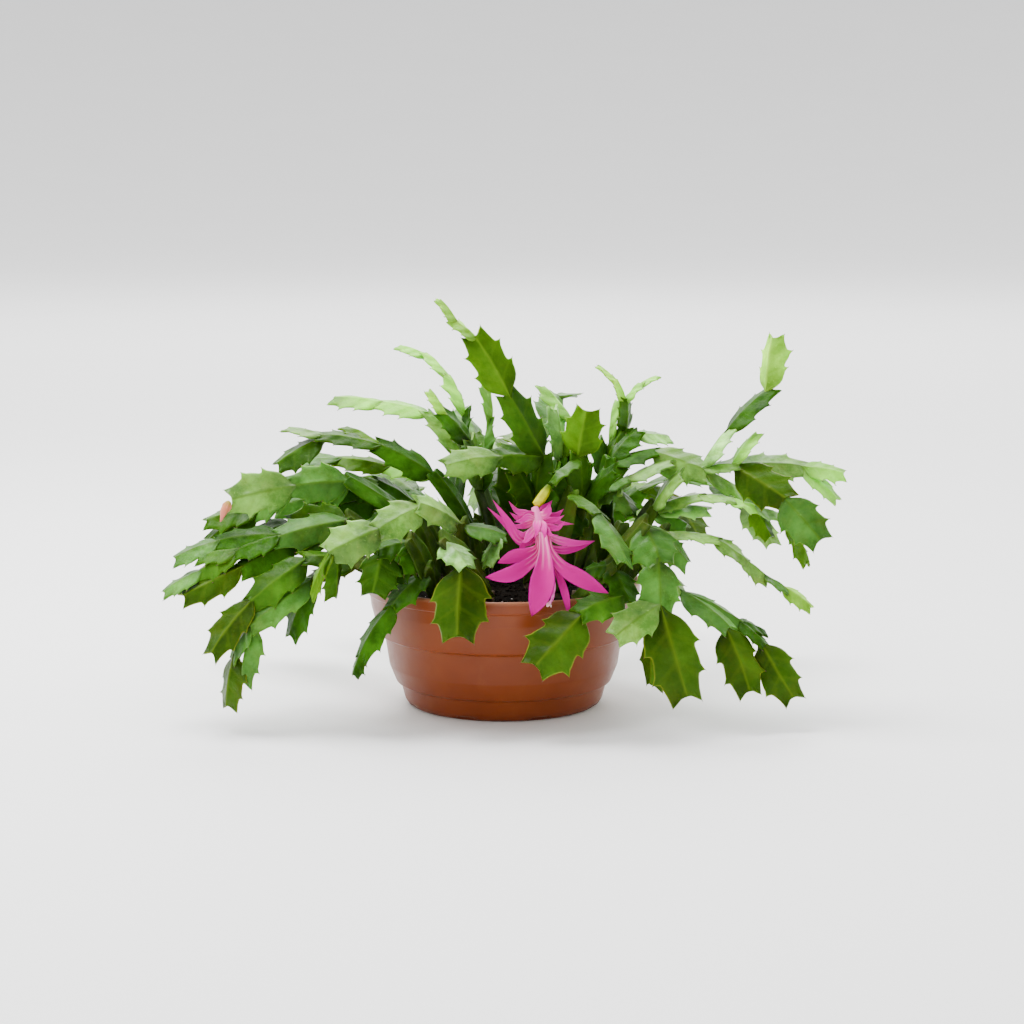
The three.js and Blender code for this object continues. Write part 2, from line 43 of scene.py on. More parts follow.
MM = 0.001
UP = np.array([0.0, 0.0, 1.0])
SOIL_TOP = 77.0
PEG_RADIUS, PEG_DEPTH, PEG_RISE = 3.2, 14.0, 7.0
CROWN_HEIGHT = SOIL_TOP + PEG_RISE - 0.5
SEGMENT_WIDTH = (21.0, 26.0)
SEGMENT_LENGTH = 50.0
SEGMENT_RIB, OLD_RIB = 1.5, 2.2
SEGMENT_FOLD = (0.08, 0.38)
SEGMENT_SINK = 5.0
OLD_SEEN_WIDTH = 12.0
WIDEST_SEEN = 0.97
YOUNG_SHARE, GROWN_LENGTH = 0.35, 45.0
SEED = 20240917

# The photograph's viewpoint, worked out from the pot's ellipses.
EYE = np.array([5.6, -1564.0, 356.0])
EYE_AIM = (5.6, 123.5)
EYE_RANGE = 1581.0
EYE_DIP = radians(8.35)

# Stems: name, foot on the peat, then stretches: the stretch and joint it starts from, its segments' tones,
# some of which are painted light and shade, and its joints seen from the front: across, up, depth and the
# width that the segment shows.
STEMS = [
  ("stem_left_long", (-44, -6), [
    (0, 0, "mmg", [(-104, 146, -26, 20), (-141, 140, -34, 25), (-180, 131, -38, 27)]),
    (0, 2, "me", [(-164, 121, -24, 13), (-196, 117, -28, 13)]),
    (0, 1, "mm", [(-124, 132, -14, 20), (-150, 125, -12, 18)]),
    (1, 1, "e", [(-194, 104, -30, 16)]),
  ]),
  ("stem_left_arch", (-14, 4), [
    (0, 0, "gdee", [(-47, 150, 10, 19), (-84, 168, 6, 18), (-122, 173, 0, 10), (-149, 154, -4, 14)]),
    (0, 2, "b", [(-104, 179, 20, 5)]),
    (0, 3, "g", [(-142, 178, 12, 6)]),
    (0, 1, "fbm", [(-78, 153, 20, 13), (-110, 158, 24, 11), (-143, 154, 22, 8)]),
  ]),
  ("stem_left_middle", (-36, 22), [
    (0, 0, "edg", [(-60, 132, 26, 13), (-84, 144, 14, 12), (-113, 147, 5, 6)]),
    (0, 1, "dd", [(-86, 137, 20, 11), (-119, 138, 6, 12)]),
    (0, 1, "dd", [(-86, 129, 10, 18), (-112, 127, 2, 18)]),
  ]),
  ("stem_left_back", (-34, 40), [
    (0, 0, "pgff", [(-25, 160, 40, 9), (-50, 190, 52, 10), (-82, 195, 60, 10), (-112, 198, 68, 9)]),
    (0, 1, "dfff", [(-25, 190, 58, 6), (-37, 214, 66, 7), (-52, 228, 72, 5), (-69, 232, 78, 4)]),
  ]),
  ("stem_crown_left", (-3, 31), [
    (0, 0, "mgdy", [(-16, 140, 18, 21), (-22, 172, 12, 13), (-42, 190, 8, 14), (-49, 203, 10, 9)]),
    (0, 1, "dm", [(-9, 164, 26, 8), (-30, 173, 26, 8)]),
    (1, 1, "mf", [(-9, 184, 34, 4), (-12, 213, 38, 4)]),
    (0, 0, "de", [(7, 114, 22, 20), (2, 153, 14, 19)]),
  ]),
  ("stem_tall", (16, 0), [
    (0, 0, "deebyy", [(22, 126, -4, 16), (27, 163, -8, 16), (2, 202, -14, 22), (-20, 240, -18, 24),
      (-35, 250, -18, 8), (-43, 263, -18, 3)]),
    (0, 2, "eg", [(-5, 159, -26, 20), (-39, 153, -40, 20)]),
    (0, 1, "e", [(8, 152, -22, 18)]),
  ]),
  ("stem_bloom", (40, -14), [
    (0, 0, "deb", [(50, 128, -18, 12), (49, 163, -24, 16), (55, 191, -24, 25)]),
    (0, 2, "e", [(30, 141, -46, 5)]),
    (0, 1, "d", [(35, 152, -28, 17)]),
    (0, 1, "d", [(74, 151, -30, 14)]),
    (0, 1, "d", [(38, 106, -36, 16)]),
  ]),
  ("stem_crown_right", (30, 34), [
    (0, 0, "dp", [(38, 160, 32, 20), (33, 192, 34, 12)]),
    (0, 1, "bf", [(48, 184, 44, 6), (25, 206, 54, 5)]),
    (0, 0, "dd", [(47, 124, 34, 16), (48, 168, 40, 24)]),
  ]),
  ("stem_top_right", (48, 18), [
    (0, 0, "meeyy", [(68, 150, 28, 12), (81, 180, 24, 14), (80, 199, 22, 12), (73, 211, 24, 5),
      (62, 219, 26, 4)]),
    (0, 3, "ff", [(90, 208, 28, 4), (101, 212, 32, 3)]),
    (0, 1, "ef", [(72, 172, 35, 6), (74, 196, 38, 5)]),
    (0, 1, "m", [(62, 172, 26, 14)]),
  ]),
  ("stem_right_high", (68, 2), [
    (0, 0, "ddgpdy", [(70, 160, -2, 12), (101, 164, -8, 9), (135, 149, -20, 20), (149, 178, -14, 6),
      (177, 205, -10, 12), (178, 239, -6, 17)]),
    (0, 1, "dp", [(89, 177, 3, 12), (109, 172, 12, 8)]),
    (0, 3, "gom", [(156, 154, -26, 9), (187, 131, -50, 26), (209, 104, -60, 26)]),
    (2, 1, "f", [(167, 175, -20, 9)]),
    (2, 1, "gf", [(200, 152, -18, 17), (224, 148, -18, 13)]),
    (4, 1, "f", [(219, 131, -24, 10)]),
    (0, 3, "g", [(166, 129, -10, 6)]),
    (0, 0, "de", [(57, 137, -4, 17), (78, 155, -10, 15)]),
    (7, 1, "mg", [(84, 146, -18, 7), (111, 156, -22, 7)]),
    (7, 1, "gm", [(79, 139, -20, 13), (84, 121, -28, 16)]),
    (0, 0, "d", [(79, 117, 8, 20)]),
  ]),
  ("stem_right_middle", (76, -8), [
    (0, 0, "mggfp", [(100, 129, -25, 12), (130, 134, -36, 8), (152, 131, -36, 6), (168, 125, -36, 5),
      (191, 116, -38, 6)]),
    (0, 1, "g", [(117, 148, -38, 9)]),
    (0, 1, "m", [(121, 114, -30, 10)]),
    (0, 4, "b", [(175, 106, -42, 16)]),
    (0, 5, "b", [(200, 89, -44, 8)]),
    (0, 1, "p", [(135, 125, -28, 9)]),
  ]),
  ("stem_front_centre", (34, -40), [
    (0, 0, "mem", [(46, 139, -46, 9), (64, 121, -80, 8), (80, 90, -106, 13)]),
  ]),
  ("stem_front_right", (46, -54), [
    (0, 0, "mdeo", [(74, 90, -72, 10), (82, 63, -88, 18), (49, 56, -106, 18), (20, 21, -114, 32)]),
    (0, 1, "d", [(54, 84, -66, 13)]),
  ]),
  ("stem_right_front", (58, -44), [
    (0, 0, "emmo", [(95, 118, -76, 12), (103, 89, -92, 29), (103, 57, -102, 26), (121, 0, -110, 32)]),
    (0, 3, "g", [(73, 41, -116, 23)]),
    (0, 3, "o", [(98, 9, -82, 18)]),
    (0, 1, "m", [(121, 89, -70, 15)]),
  ]),
  ("stem_right_low", (76, -22), [
    (0, 0, "dgmo", [(92, 100, -40, 12), (118, 68, -64, 12), (149, 46, -80, 14), (162, 4, -94, 24)]),
    (0, 2, "mdo", [(158, 49, -68, 11), (172, 35, -78, 10), (191, 0, -88, 24)]),
    (1, 1, "d", [(172, 44, -62, 8)]),
    (0, 0, "mgggmy", [(109, 112, -50, 8), (142, 105, -54, 6), (160, 90, -56, 10), (174, 78, -58, 10),
      (187, 71, -60, 5), (202, 60, -62, 12)]),
  ]),
  ("stem_front", (-8, -54), [
    (0, 0, "mpo", [(-42, 107, -80, 12), (-24, 87, -94, 17), (-30, 40, -110, 33)]),
  ]),
  ("stem_left_inner", (-22, -36), [
    (0, 0, "mggge", [(-28, 118, -50, 12), (-57, 129, -70, 17), (-83, 111, -88, 23), (-116, 96, -94, 25),
      (-112, 67, -92, 12)]),
    (0, 4, "b", [(-126, 68, -90, 6)]),
    (0, 1, "mp", [(2, 107, -48, 10), (-11, 87, -58, 9)]),
  ]),
  ("stem_left_front", (-44, -52), [
    (0, 0, "dde", [(-63, 107, -66, 18), (-84, 97, -74, 17), (-86, 69, -82, 26)]),
    (0, 1, "d", [(-60, 82, -74, 16)]),
    (0, 1, "d", [(-72, 76, -62, 14)]),
    (0, 0, "dddd", [(-50, 88, -64, 13), (-74, 60, -86, 15), (-94, 28, -90, 14), (-98, 16, -90, 12)]),
  ]),
  ("stem_left_low", (-62, -20), [
    (0, 0, "mmdem", [(-104, 121, -46, 16), (-150, 106, -56, 21), (-177, 96, -60, 13), (-201, 82, -62, 12),
      (-223, 70, -62, 10)]),
    (0, 3, "e", [(-200, 93, -52, 7)]),
    (0, 1, "ed", [(-142, 115, -32, 23), (-172, 103, -30, 15)]),
    (0, 2, "dm", [(-190, 103, -46, 16), (-216, 92, -46, 12)]),
    (0, 1, "edo", [(-140, 102, -50, 19), (-174, 85, -66, 19), (-211, 67, -70, 17)]),
  ]),
  ("stem_left_hang", (-58, -44), [
    (0, 0, "eeeo", [(-100, 92, -60, 18), (-132, 94, -74, 13), (-167, 63, -82, 20), (-192, 29, -90, 19)]),
    (0, 1, "omm", [(-128, 78, -74, 11), (-168, 47, -90, 20), (-171, 10, -94, 11)]),
    (1, 2, "mo", [(-178, 26, -86, 9), (-181, -5, -90, 14)]),
    (1, 1, "d", [(-140, 41, -72, 14)]),
  ]),
]

# The far side and the crown: name, count, bearings, radius of the feet, rises, half-angle of the fork.
RULE_STEMS = [
  ("stem_far", 5, (36, 152), 64, (48, 30, 12, -8, -28, -46), 24),
  ("stem_behind", 2, (76, 104), 50, (72, 58, 44, 20, -6), 26),
]

OVARY = [(29.9, 140.2, -46.2), (24.5, 132, -51.5), (21.6, 128.4, -54)]
TUBE = [(20.6, 126.2, -56), (23, 116, -62), (26, 104, -70), (28, 91, -80)]
STAMENS = [(28.6, 88, -84), (33.4, 76, -93), (32, 67, -97), (28.6, 61.5, -97)]
# Petals: widest, how pale they are at the base, and their route.
PETALS = [
  (6, 0.35, [(24, 106, -66), (13, 103, -64), (3, 114, -60), (-10.5, 126.5, -56)]),
  (6.5, 0.15, [(22, 105, -70), (11, 105, -72), (3, 117, -68), (-7, 131.5, -64)]),
  (5, 0.2, [(24, 110, -66), (17, 105, -72), (12, 100, -74), (14.5, 92, -76)]),
  (5, 0.85, [(22, 121, -58), (15, 122.5, -56), (9, 124, -54), (3.5, 130.5, -52)]),
  (5, 0.9, [(22, 119, -60), (15, 117.5, -62), (9, 119.5, -62), (4, 123.5, -62)]),
  (5, 0.8, [(22, 118, -61), (15, 115, -65), (9, 114, -68), (3.5, 116, -68)]),
  (6, 0.9, [(23, 116, -64), (18, 110, -70), (13, 108.5, -73), (8, 112.5, -74)]),
  (6, 0.95, [(22, 114, -66), (17, 108, -73), (14, 104, -78), (10.5, 104.5, -80)]),
  (5, 0.3, [(21, 122, -60), (17, 122, -64), (12, 120, -66), (8, 121.5, -67)]),
  (6, 0.35, [(22, 121, -58), (25, 124, -57), (28.5, 127, -53), (32, 131, -49)]),
  (7, 0.95, [(24, 122, -60), (27, 122, -62), (29.5, 125, -62), (30, 129, -61)]),
  (6, 0.3, [(23, 118, -60), (30, 120, -60), (35, 121.5, -60), (39.5, 125.5, -60)]),
  (5, 0.2, [(24, 117, -61), (31, 118, -65), (36, 119, -67), (40, 121.5, -67)]),
  (4, 0.6, [(24, 116, -62), (32, 117.5, -64), (39, 116, -66), (46.5, 115.5, -66)]),
  (5, 0.4, [(25, 115, -64), (31, 113.5, -68), (36, 113, -70), (40.5, 117.5, -70)]),
  (5, 0.9, [(24, 116, -64), (28, 112, -71), (31, 108.5, -74), (36, 108, -74)]),
  (6, 0.95, [(23, 119, -62), (22, 115, -70), (22, 111, -74), (20.5, 106, -76)]),
  (6, 0.9, [(24, 118, -62), (26, 114, -71), (27, 110, -75), (27.5, 105, -77)]),
  (6, 0.75, [(26, 110, -67), (36, 105, -70), (48, 103, -72), (60, 104.5, -70)]),
  (6, 0.3, [(28, 101, -72), (38, 98.5, -73), (50, 100.5, -70), (60, 104.5, -66)]),
  (5, 0.9, [(22, 118, -62), (16, 120, -66), (11, 117.5, -69), (7, 117, -70)]),
]
# The lower whorl's petals run down the tube before they turn out.
LOW_PETALS = [
  (9, 0.3, [(22.5, 110, -71), (22, 100, -79), (13, 95.5, -84), (6, 94, -86), (-4, 90, -88)]),
  (10, 0.35, [(23.5, 108, -73), (23, 96, -82), (13, 87, -89), (3, 82, -93), (-12, 80.5, -94)]),
  (15.5, 0.5, [(25.5, 111, -73.5), (27, 97, -83), (26.5, 84, -93), (24.5, 72, -99), (18.5, 55, -100)]),
  (10.5, 0.6, [(29, 111, -69), (31, 98, -80), (39, 87, -88), (52, 79, -92), (69, 70, -92)]),
  (5, 0.1, [(28, 104, -74), (31.5, 91, -82), (37, 80, -87), (41, 68, -93), (43.5, 53.5, -96)]),
]
BUD = [(-180.5, 130.3, -39.5), (-183.5, 124.1, -41), (-185.9, 117.2, -41)]

# ---- margins and colours of the segments ----

# Margin of a segment on one side, foot to tip: arcs of (share of the length, share of the half width), each
# ending in a forward-pointing tooth; the last one is the horn, and then the hollow end.
ARCS = [
  [(0, 0), (0.02, 0.12), (0.05, 0.19), (0.08, 0.26), (0.11, 0.38), (0.145, 0.55), (0.19, 0.72),
   (0.25, 0.86), (0.32, 0.94), (0.4, 1.0), (0.472, 1.14)],
  [(0.474, 1.01), (0.484, 0.91), (0.515, 0.88), (0.57, 0.91), (0.64, 0.96), (0.7, 0.99), (0.772, 1.12)],
  [(0.774, 0.97), (0.784, 0.84), (0.82, 0.77), (0.87, 0.71), (0.92, 0.655), (0.97, 0.62), (1.05, 0.58)],
  [(1.026, 0.49), (1.004, 0.41), (0.988, 0.31), (0.976, 0.2), (0.97, 0.1), (0.968, 0)],
]
OLD_ARCS = [
  [(0, 0), (0.03, 0.2), (0.08, 0.45), (0.14, 0.66), (0.22, 0.8), (0.34, 0.9), (0.5, 0.97), (0.66, 1.0)],
  [(0.72, 0.98), (0.82, 0.9), (0.92, 0.8), (1.0, 0.64)],
  [(1.01, 0.5), (0.995, 0.34), (0.98, 0.18), (0.965, 0)],
]
# Where the points of a row lie, from the midrib to the margin.
ROWS = np.array([0.0, 0.07, 0.16, 0.34, 0.55, 0.76, 0.92, 1.0])

# Green of each tone: body, painted shade in its mottling, midrib, margin, roughness. Some tones are lit
# and shaded copies of one green: p and g carry a painted sheen, b and f a painted glow of back-lit blades,
# and d is painted shade.
TONES_WITH_PAINTED_LIGHT = {
  "p": ((0.31, 0.7, 0.13), (0.12, 0.32, 0.04), (0.11, 0.23, 0.014), (0.2, 0.4, 0.08), 0.4),
  "g": ((0.17, 0.37, 0.05), (0.066, 0.18, 0.016), (0.075, 0.17, 0.008), (0.16, 0.32, 0.05), 0.4),
  "m": ((0.072, 0.215, 0.026), (0.032, 0.108, 0.006), (0.06, 0.135, 0.005), (0.13, 0.24, 0.02), 0.38),
  "e": ((0.037, 0.114, 0.004), (0.021, 0.076, 0.002), (0.07, 0.16, 0.006), (0.1, 0.19, 0.01), 0.36),
  "d": ((0.028, 0.104, 0.003), (0.011, 0.044, 0.001), (0.042, 0.1, 0.005), (0.06, 0.12, 0.005), 0.38),
  "o": ((0.035, 0.086, 0.003), (0.022, 0.062, 0.001), (0.09, 0.155, 0.005), (0.2, 0.22, 0.014), 0.34),
  "b": ((0.074, 0.19, 0.002), (0.048, 0.135, 0.001), (0.13, 0.27, 0.008), (0.18, 0.3, 0.01), 0.42),
  "y": ((0.275, 0.62, 0.034), (0.17, 0.43, 0.014), (0.33, 0.6, 0.06), (0.34, 0.6, 0.06), 0.48),
  "f": ((0.29, 0.76, 0.055), (0.23, 0.58, 0.06), (0.4, 0.74, 0.17), (0.38, 0.66, 0.14), 0.5),
  "w": ((0.045, 0.1, 0.009), (0.028, 0.056, 0.006), (0.065, 0.115, 0.012), (0.04, 0.055, 0.01), 0.6),
}
# Strength of the waxy gloss.
SHEEN = {"p": 0.3, "g": 0.16, "m": 0.08, "e": 0.06, "d": 0.04,
         "o": 0.06, "b": 0.06, "y": 0.08, "f": 0.1, "w": 0.05}
# How much of a tone's body is blotched with a drier, browner colour.
BLUSH = {"p": 0.12, "g": 0.2, "m": 0.25, "e": 0.25, "d": 0.15,
         "o": 0.3, "b": 0.12, "y": 0.05, "f": 0.05, "w": 0.6}
TONE_ORDER = list(TONES_WITH_PAINTED_LIGHT)
SPINE_MAT, BARK_MAT = len(TONE_ORDER), len(TONE_ORDER) + 1

# The layout's draws, the same as in the CAD source.
DRAW_STEP, DRAW_RANGE = 16807, 2147483647
drawn = SEED


def draw(low, high):
    global drawn
    drawn = (drawn * DRAW_STEP) % DRAW_RANGE
    return low + (high - low) * drawn / DRAW_RANGE


# ---- layout, as in the CAD source ----

def unit(v):
    return v / np.linalg.norm(v)


def square_to(axis, v):
    return unit(v - axis * np.dot(v, axis))


def seen(u, v, y):
    """The point at depth y that the photograph's viewer sees at (u, v)."""
    across = (u - EYE_AIM[0]) / EYE_RANGE
    raised = (v - EYE_AIM[1]) / EYE_RANGE
    sight = np.array([across, cos(EYE_DIP) + raised * sin(EYE_DIP), raised * cos(EYE_DIP) - sin(EYE_DIP)])
    return EYE + sight * (y - EYE[1]) / sight[1]


def seen_route(route):
    return [seen(*p) for p in route]


def bezier(a, b, c, t):
    return a * (1 - t) ** 2 + b * 2 * t * (1 - t) + c * t * t


def face_for(foot, tip, seen_width, width):
    """The way a segment faces, so that it shows seen_width of its width."""
    axis = unit(tip - foot)
    to_eye = square_to(axis, EYE - foot)
    edge = np.cross(axis, to_eye)
    if edge[2] < 0:
        edge = -edge
    turn = acos(min(1, seen_width / width))
    return to_eye * cos(turn) + edge * sin(turn)


def fold_of(old):
    """The fold of the CAD segment; its teeth's draws are spent too, so that later draws stay in step."""
    fold = 0 if old else draw(*SEGMENT_FOLD)
    for _ in range(2 if old else 4):
        draw(0, 1)
    return fold


def laid_segments(root, routes):
    """(foot, tip, width, face, rib, fold, tone, old) of every segment of a stem whose joints are listed."""
    crown = np.array([*root, CROWN_HEIGHT])
    reached, made = [], []

    def grow(start, way, tip, seen_width, old, tone):
        full = max(draw(*SEGMENT_WIDTH), seen_width / WIDEST_SEEN)
        young = min(1, YOUNG_SHARE + np.linalg.norm(tip - start) / GROWN_LENGTH)
        foot = start - way * SEGMENT_SINK
        face = face_for(start, tip, seen_width, full)
        rib = OLD_RIB if old else SEGMENT_RIB
        made.append((foot, tip, max(full * young, seen_width), face, rib, fold_of(old), tone, old))
        return tip, unit(tip - foot)

    for of, at, tones, route in routes:
        start, way = reached[of][at] if at else (crown, UP)
        joints = [(start, way)]
        for i, ((u, v, y, seen_width), tone) in enumerate(zip(route, tones)):
            tip = seen(u, v, y)
            low = start
            reach = np.linalg.norm(tip - low)
            old = i == 0 and not at
            steps = max(1, floor(reach / SEGMENT_LENGTH + 0.5)) if old else 1
            bend = low + UP * 0.5 * reach if old else (low + tip) / 2
            for step in range(1, steps + 1):
                to = bezier(low, bend, tip, step / steps)
                # An old stretch is woody in its first segment and dark green beyond it, which is painted
                # shade.
                shade = ("w" if step == 1 else "d") if old else tone
                start, way = grow(start, way, to, OLD_SEEN_WIDTH if old else seen_width, old, shade)
            joints.append((start, way))
        reached.append(joints)
    return made


RULE_PITCH, RULE_SWAY, RULE_LEAN = 7, 8, 35
RULE_LENGTH = (33, 40)
RULE_FORWARD = 0.4
# Tones of a ruled stem's segments, foot first: d is painted shade, g a painted sheen, b a painted glow of
# back-lit blades.
RULE_TONES = "wdemmgboo"


def ruled_segments(bearing, radius, rises, fork):
    """The foot and the segments of a stem that arches out on a bearing and forks halfway."""
    heading = radians(bearing)
    root = (radius * cos(heading), radius * sin(heading))
    made = []

    def run(point, way, rises, turn):
        joints = []
        for rise in rises:
            pitch = radians(rise + draw(-RULE_PITCH, RULE_PITCH))
            bearing_now = heading + turn + radians(draw(-RULE_SWAY, RULE_SWAY))
            flat = np.array([cos(bearing_now), sin(bearing_now), 0.0])
            tip = point + (flat * cos(pitch) + UP * sin(pitch)) * draw(*RULE_LENGTH)
            lean = radians(draw(-RULE_LEAN, RULE_LEAN))
            face = np.array([flat[1], -flat[0], 0.0]) * sin(lean) + flat * RULE_FORWARD
            face[2] = cos(lean)
            foot = point - way * SEGMENT_SINK
            width = draw(*SEGMENT_WIDTH)
            made.append((foot, tip, width, face, SEGMENT_RIB, fold_of(False), RULE_TONES[len(made)], False))
            point, way = tip, unit(tip - foot)
            joints.append((point, way))
        return joints

    main = run(np.array([*root, CROWN_HEIGHT]), UP, rises, 0)
    run(*main[1], rises[3:], radians(fork if bearing < 90 else -fork))
    return root, made


# ---- meshes ----

def added(name, data):
    """A new object in the scene."""
    obj = bpy.data.objects.new(name, data)
    bpy.context.scene.collection.objects.link(obj)
    return obj


def turns(sides):
    """Even angles round a circle."""
    return [2 * pi * i / sides for i in range(sides)]


class Builder:
    """Gathers points, faces, material numbers and a flat layout for each point."""

    def __init__(self):
        self.points, self.faces, self.mats, self.layout = [], [], [], []

    def add(self, points, faces, mat, layout):
        start = len(self.points)
        self.points.extend(points)
        self.layout.extend(layout)
        for face in faces:
            self.faces.append([start + i for i in face])
            self.mats.append(mat)

    def piece(self, name, materials, node):
        mesh = bpy.data.meshes.new(name)
        mesh.from_pydata([tuple(p * MM) for p in self.points], [], self.faces)
        for material in materials:
            mesh.materials.append(material)
        mesh.polygons.foreach_set("material_index", self.mats)
        mesh.polygons.foreach_set("use_smooth", [True] * len(self.faces))
        uv = mesh.uv_layers.new(name="UVMap")
        corners = np.zeros(len(mesh.loops), np.int32)
        mesh.loops.foreach_get("vertex_index", corners)
        uv.data.foreach_set("uv", np.array(self.layout, np.float32)[corners].ravel())
        mesh.validate()
        obj = added(name, mesh)
        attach(obj, "root")
        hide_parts(node)


def ring_faces(rings, sides):
    """Quads between rings of points that are listed one ring after the other."""
    faces = []
    for s in range(rings - 1):
        for i in range(sides):
            j = (i + 1) % sides
            faces.append((s * sides + i, s * sides + j, (s + 1) * sides + j, (s + 1) * sides + i))
    return faces


def closed_faces(rings, sides):
    """The same, with a fan at either end to the two points listed after the rings."""
    faces = ring_faces(rings, sides)
    low, high, last = rings * sides, rings * sides + 1, (rings - 1) * sides
    for i in range(sides):
        j = (i + 1) % sides
        faces.append((low, j, i))
        faces.append((high, last + i, last + j))
    return faces


def sheet_faces(rows, columns, at, turned_over):
    """Quads of a grid whose points at() gives; corners that meet are taken once."""
    faces = []
    for s in range(rows - 1):
        for k in range(columns - 1):
            quad = [at(s, k), at(s + 1, k), at(s + 1, k + 1), at(s, k + 1)]
            corners = list(dict.fromkeys(quad))
            if len(corners) > 2:
                faces.append(corners[::-1] if turned_over else corners)
    return faces


# ---- segments ----

# A blade's form: shares of its length or width, then millimetres.
BLADE_ARCH, BLADE_BEND = 0.05, 0.02
BLADE_CUP, BLADE_WAVE, WAVE_START = (-0.07, 0.12), (0.3, 1.0), (0, 6.28)
SIDE_FULLNESS, TEETH_SHIFT = (0.95, 1.04), 0.06
MIDRIB_TOP, MIDRIB_END = 0.93, 0.965
BODY_SHARE, RIDGE_SHARE = 0.72, 0.34
FOOT_SWELL, FOOT_REACH = 0.55, 0.09
WAVY_WIDTH = 18.0
EDGE_THICK, RIDGE_WIDTH, RIDGE_HALF = 0.38, 1.5, 0.8
SPINE_LENGTH, SPINE_RADIUS, SPINE_SINK = (1.0, 1.9), 0.33, 0.5
PEG_SIDES, PEG_RINGS = 14, 9


def outline(arcs, shift):
    """One side's margin, as shares of the length and of the half width, and the teeth's indexes."""
    points, teeth = [], []
    for number, arc in enumerate(arcs):
        points.extend(arc)
        if number < len(arcs) - 1:
            teeth.append(len(points) - 1)
    out = np.array(points, float)
    out[:, 0] += shift * np.sin(out[:, 0] * pi) * 0.5
    out[:, 1] *= 1 + 0.05 * np.sin(out[:, 0] * 9 + shift * 90)
    return out, teeth


def blade_thick(along, across, reach, rib):
    """Half the thickness: a body that thins to the margin, the ridge of the midrib and a swollen foot."""
    body = EDGE_THICK + (rib * BODY_SHARE - EDGE_THICK) * (1 - reach ** 1.6)
    ridge = rib * RIDGE_SHARE * exp(-(across / RIDGE_WIDTH) ** 2)
    return (body + ridge) * (1 + FOOT_SWELL * exp(-along / FOOT_REACH))


def blade_lift(along, across, reach, hand, blade):
    """Height over the flat: cupped, waved at the margin, dented, arched and folded at the midrib."""
    cup, wave, dent, start, arch, fold, half = blade
    ripple = sin(along * 7.5 + start + hand) + 0.35 * sin(along * 17 + start)
    hollow = sin(along * 12 + 2 * start) * cos(across * 0.55 + start)
    lift = cup * across * across / half + wave * ripple * reach ** 2 + 0.4 * dent * hollow * min(1, 3 * along)
    return lift + 4 * arch * along * (1 - along) - fold * max(0, abs(across) - RIDGE_HALF)


def add_segment(build, segment):
    foot, tip, width, face, rib, fold, tone, old = segment
    length = np.linalg.norm(tip - foot)
    axis = (tip - foot) / length
    up = square_to(axis, face)
    side = np.cross(up, axis)
    wavy = min(1, width / WAVY_WIDTH)
    cup = wild.uniform(*BLADE_CUP)
    wave = wild.uniform(*BLADE_WAVE) * wavy
    bend = wild.uniform(-BLADE_BEND, BLADE_BEND) * length
    start = wild.uniform(*WAVE_START)
    blade = (cup, wave, wave * wavy, start, BLADE_ARCH * length, fold, width / 2)
    arcs = OLD_ARCS if old else ARCS
    count, rim = sum(len(arc) for arc in arcs), len(ROWS) - 1
    grid, points, layout = {}, [], []

    def key(flip, hand, s, k):
        """Sides share points at the midrib and the ends, faces at the margin."""
        return 1 if k == rim else flip, 1 if k == 0 or s in (0, count - 1) else hand, s, k

    for hand in (1, -1):
        fuller = wild.uniform(*SIDE_FULLNESS)
        margin, teeth = outline(arcs, wild.uniform(-TEETH_SHIFT, TEETH_SHIFT))
        run = np.maximum.accumulate(margin[:, 0])
        top = int(np.argmax(margin[:, 0]))
        midrib = run / run[top] * MIDRIB_TOP
        midrib[top:] = np.linspace(MIDRIB_TOP, MIDRIB_END, count - top)
        midrib[0] = 0
        for flip in (1, -1):
            for s in range(count):
                for k, f in enumerate(ROWS):
                    if key(flip, hand, s, k) in grid:
                        continue
                    grid[key(flip, hand, s, k)] = len(points)
                    along = midrib[s] + (margin[s, 0] - midrib[s]) * f
                    reach = margin[s, 1] * f
                    across = reach * fuller * width / 2
                    aside = hand * across + bend * sin(pi * min(1, along))
                    thick = blade_thick(along, across, reach, rib) if k < rim else 0
                    lift = blade_lift(along, across, reach, hand, blade)
                    points.append(foot + axis * along * length + side * aside + up * (flip * thick + lift))
                    layout.append((0.5 + 0.5 * hand * (f if 0 < s < count - 1 else 0), along))
    faces = []
    for hand in (1, -1):
        for flip in (1, -1):
            faces += sheet_faces(count, len(ROWS), lambda s, k: grid[key(flip, hand, s, k)], flip * hand < 0)
    build.add(points, faces, TONE_ORDER.index(tone), layout)
    if old:
        return
    for hand in (1, -1):
        for tooth in teeth:
            base = points[grid[key(1, hand, tooth, rim)]]
            out = unit(axis * 0.8 + side * hand * (0.6 if tooth != teeth[-1] else 0.15))
            add_spine(build, base - out * SPINE_SINK, out, wild.uniform(*SPINE_LENGTH))


def add_spine(build, base, out, length):
    a = square_to(out, np.array([0.13, 0.57, 0.81]))
    b = np.cross(out, a)
    thirds = (0, 2.094, 4.189)
    ring = [base + (a * cos(t) + b * sin(t)) * SPINE_RADIUS for t in thirds]
    build.add(ring + [base + out * length], [(0, 1, 3), (1, 2, 3), (2, 0, 3)], SPINE_MAT, [(0.5, 0.5)] * 4)


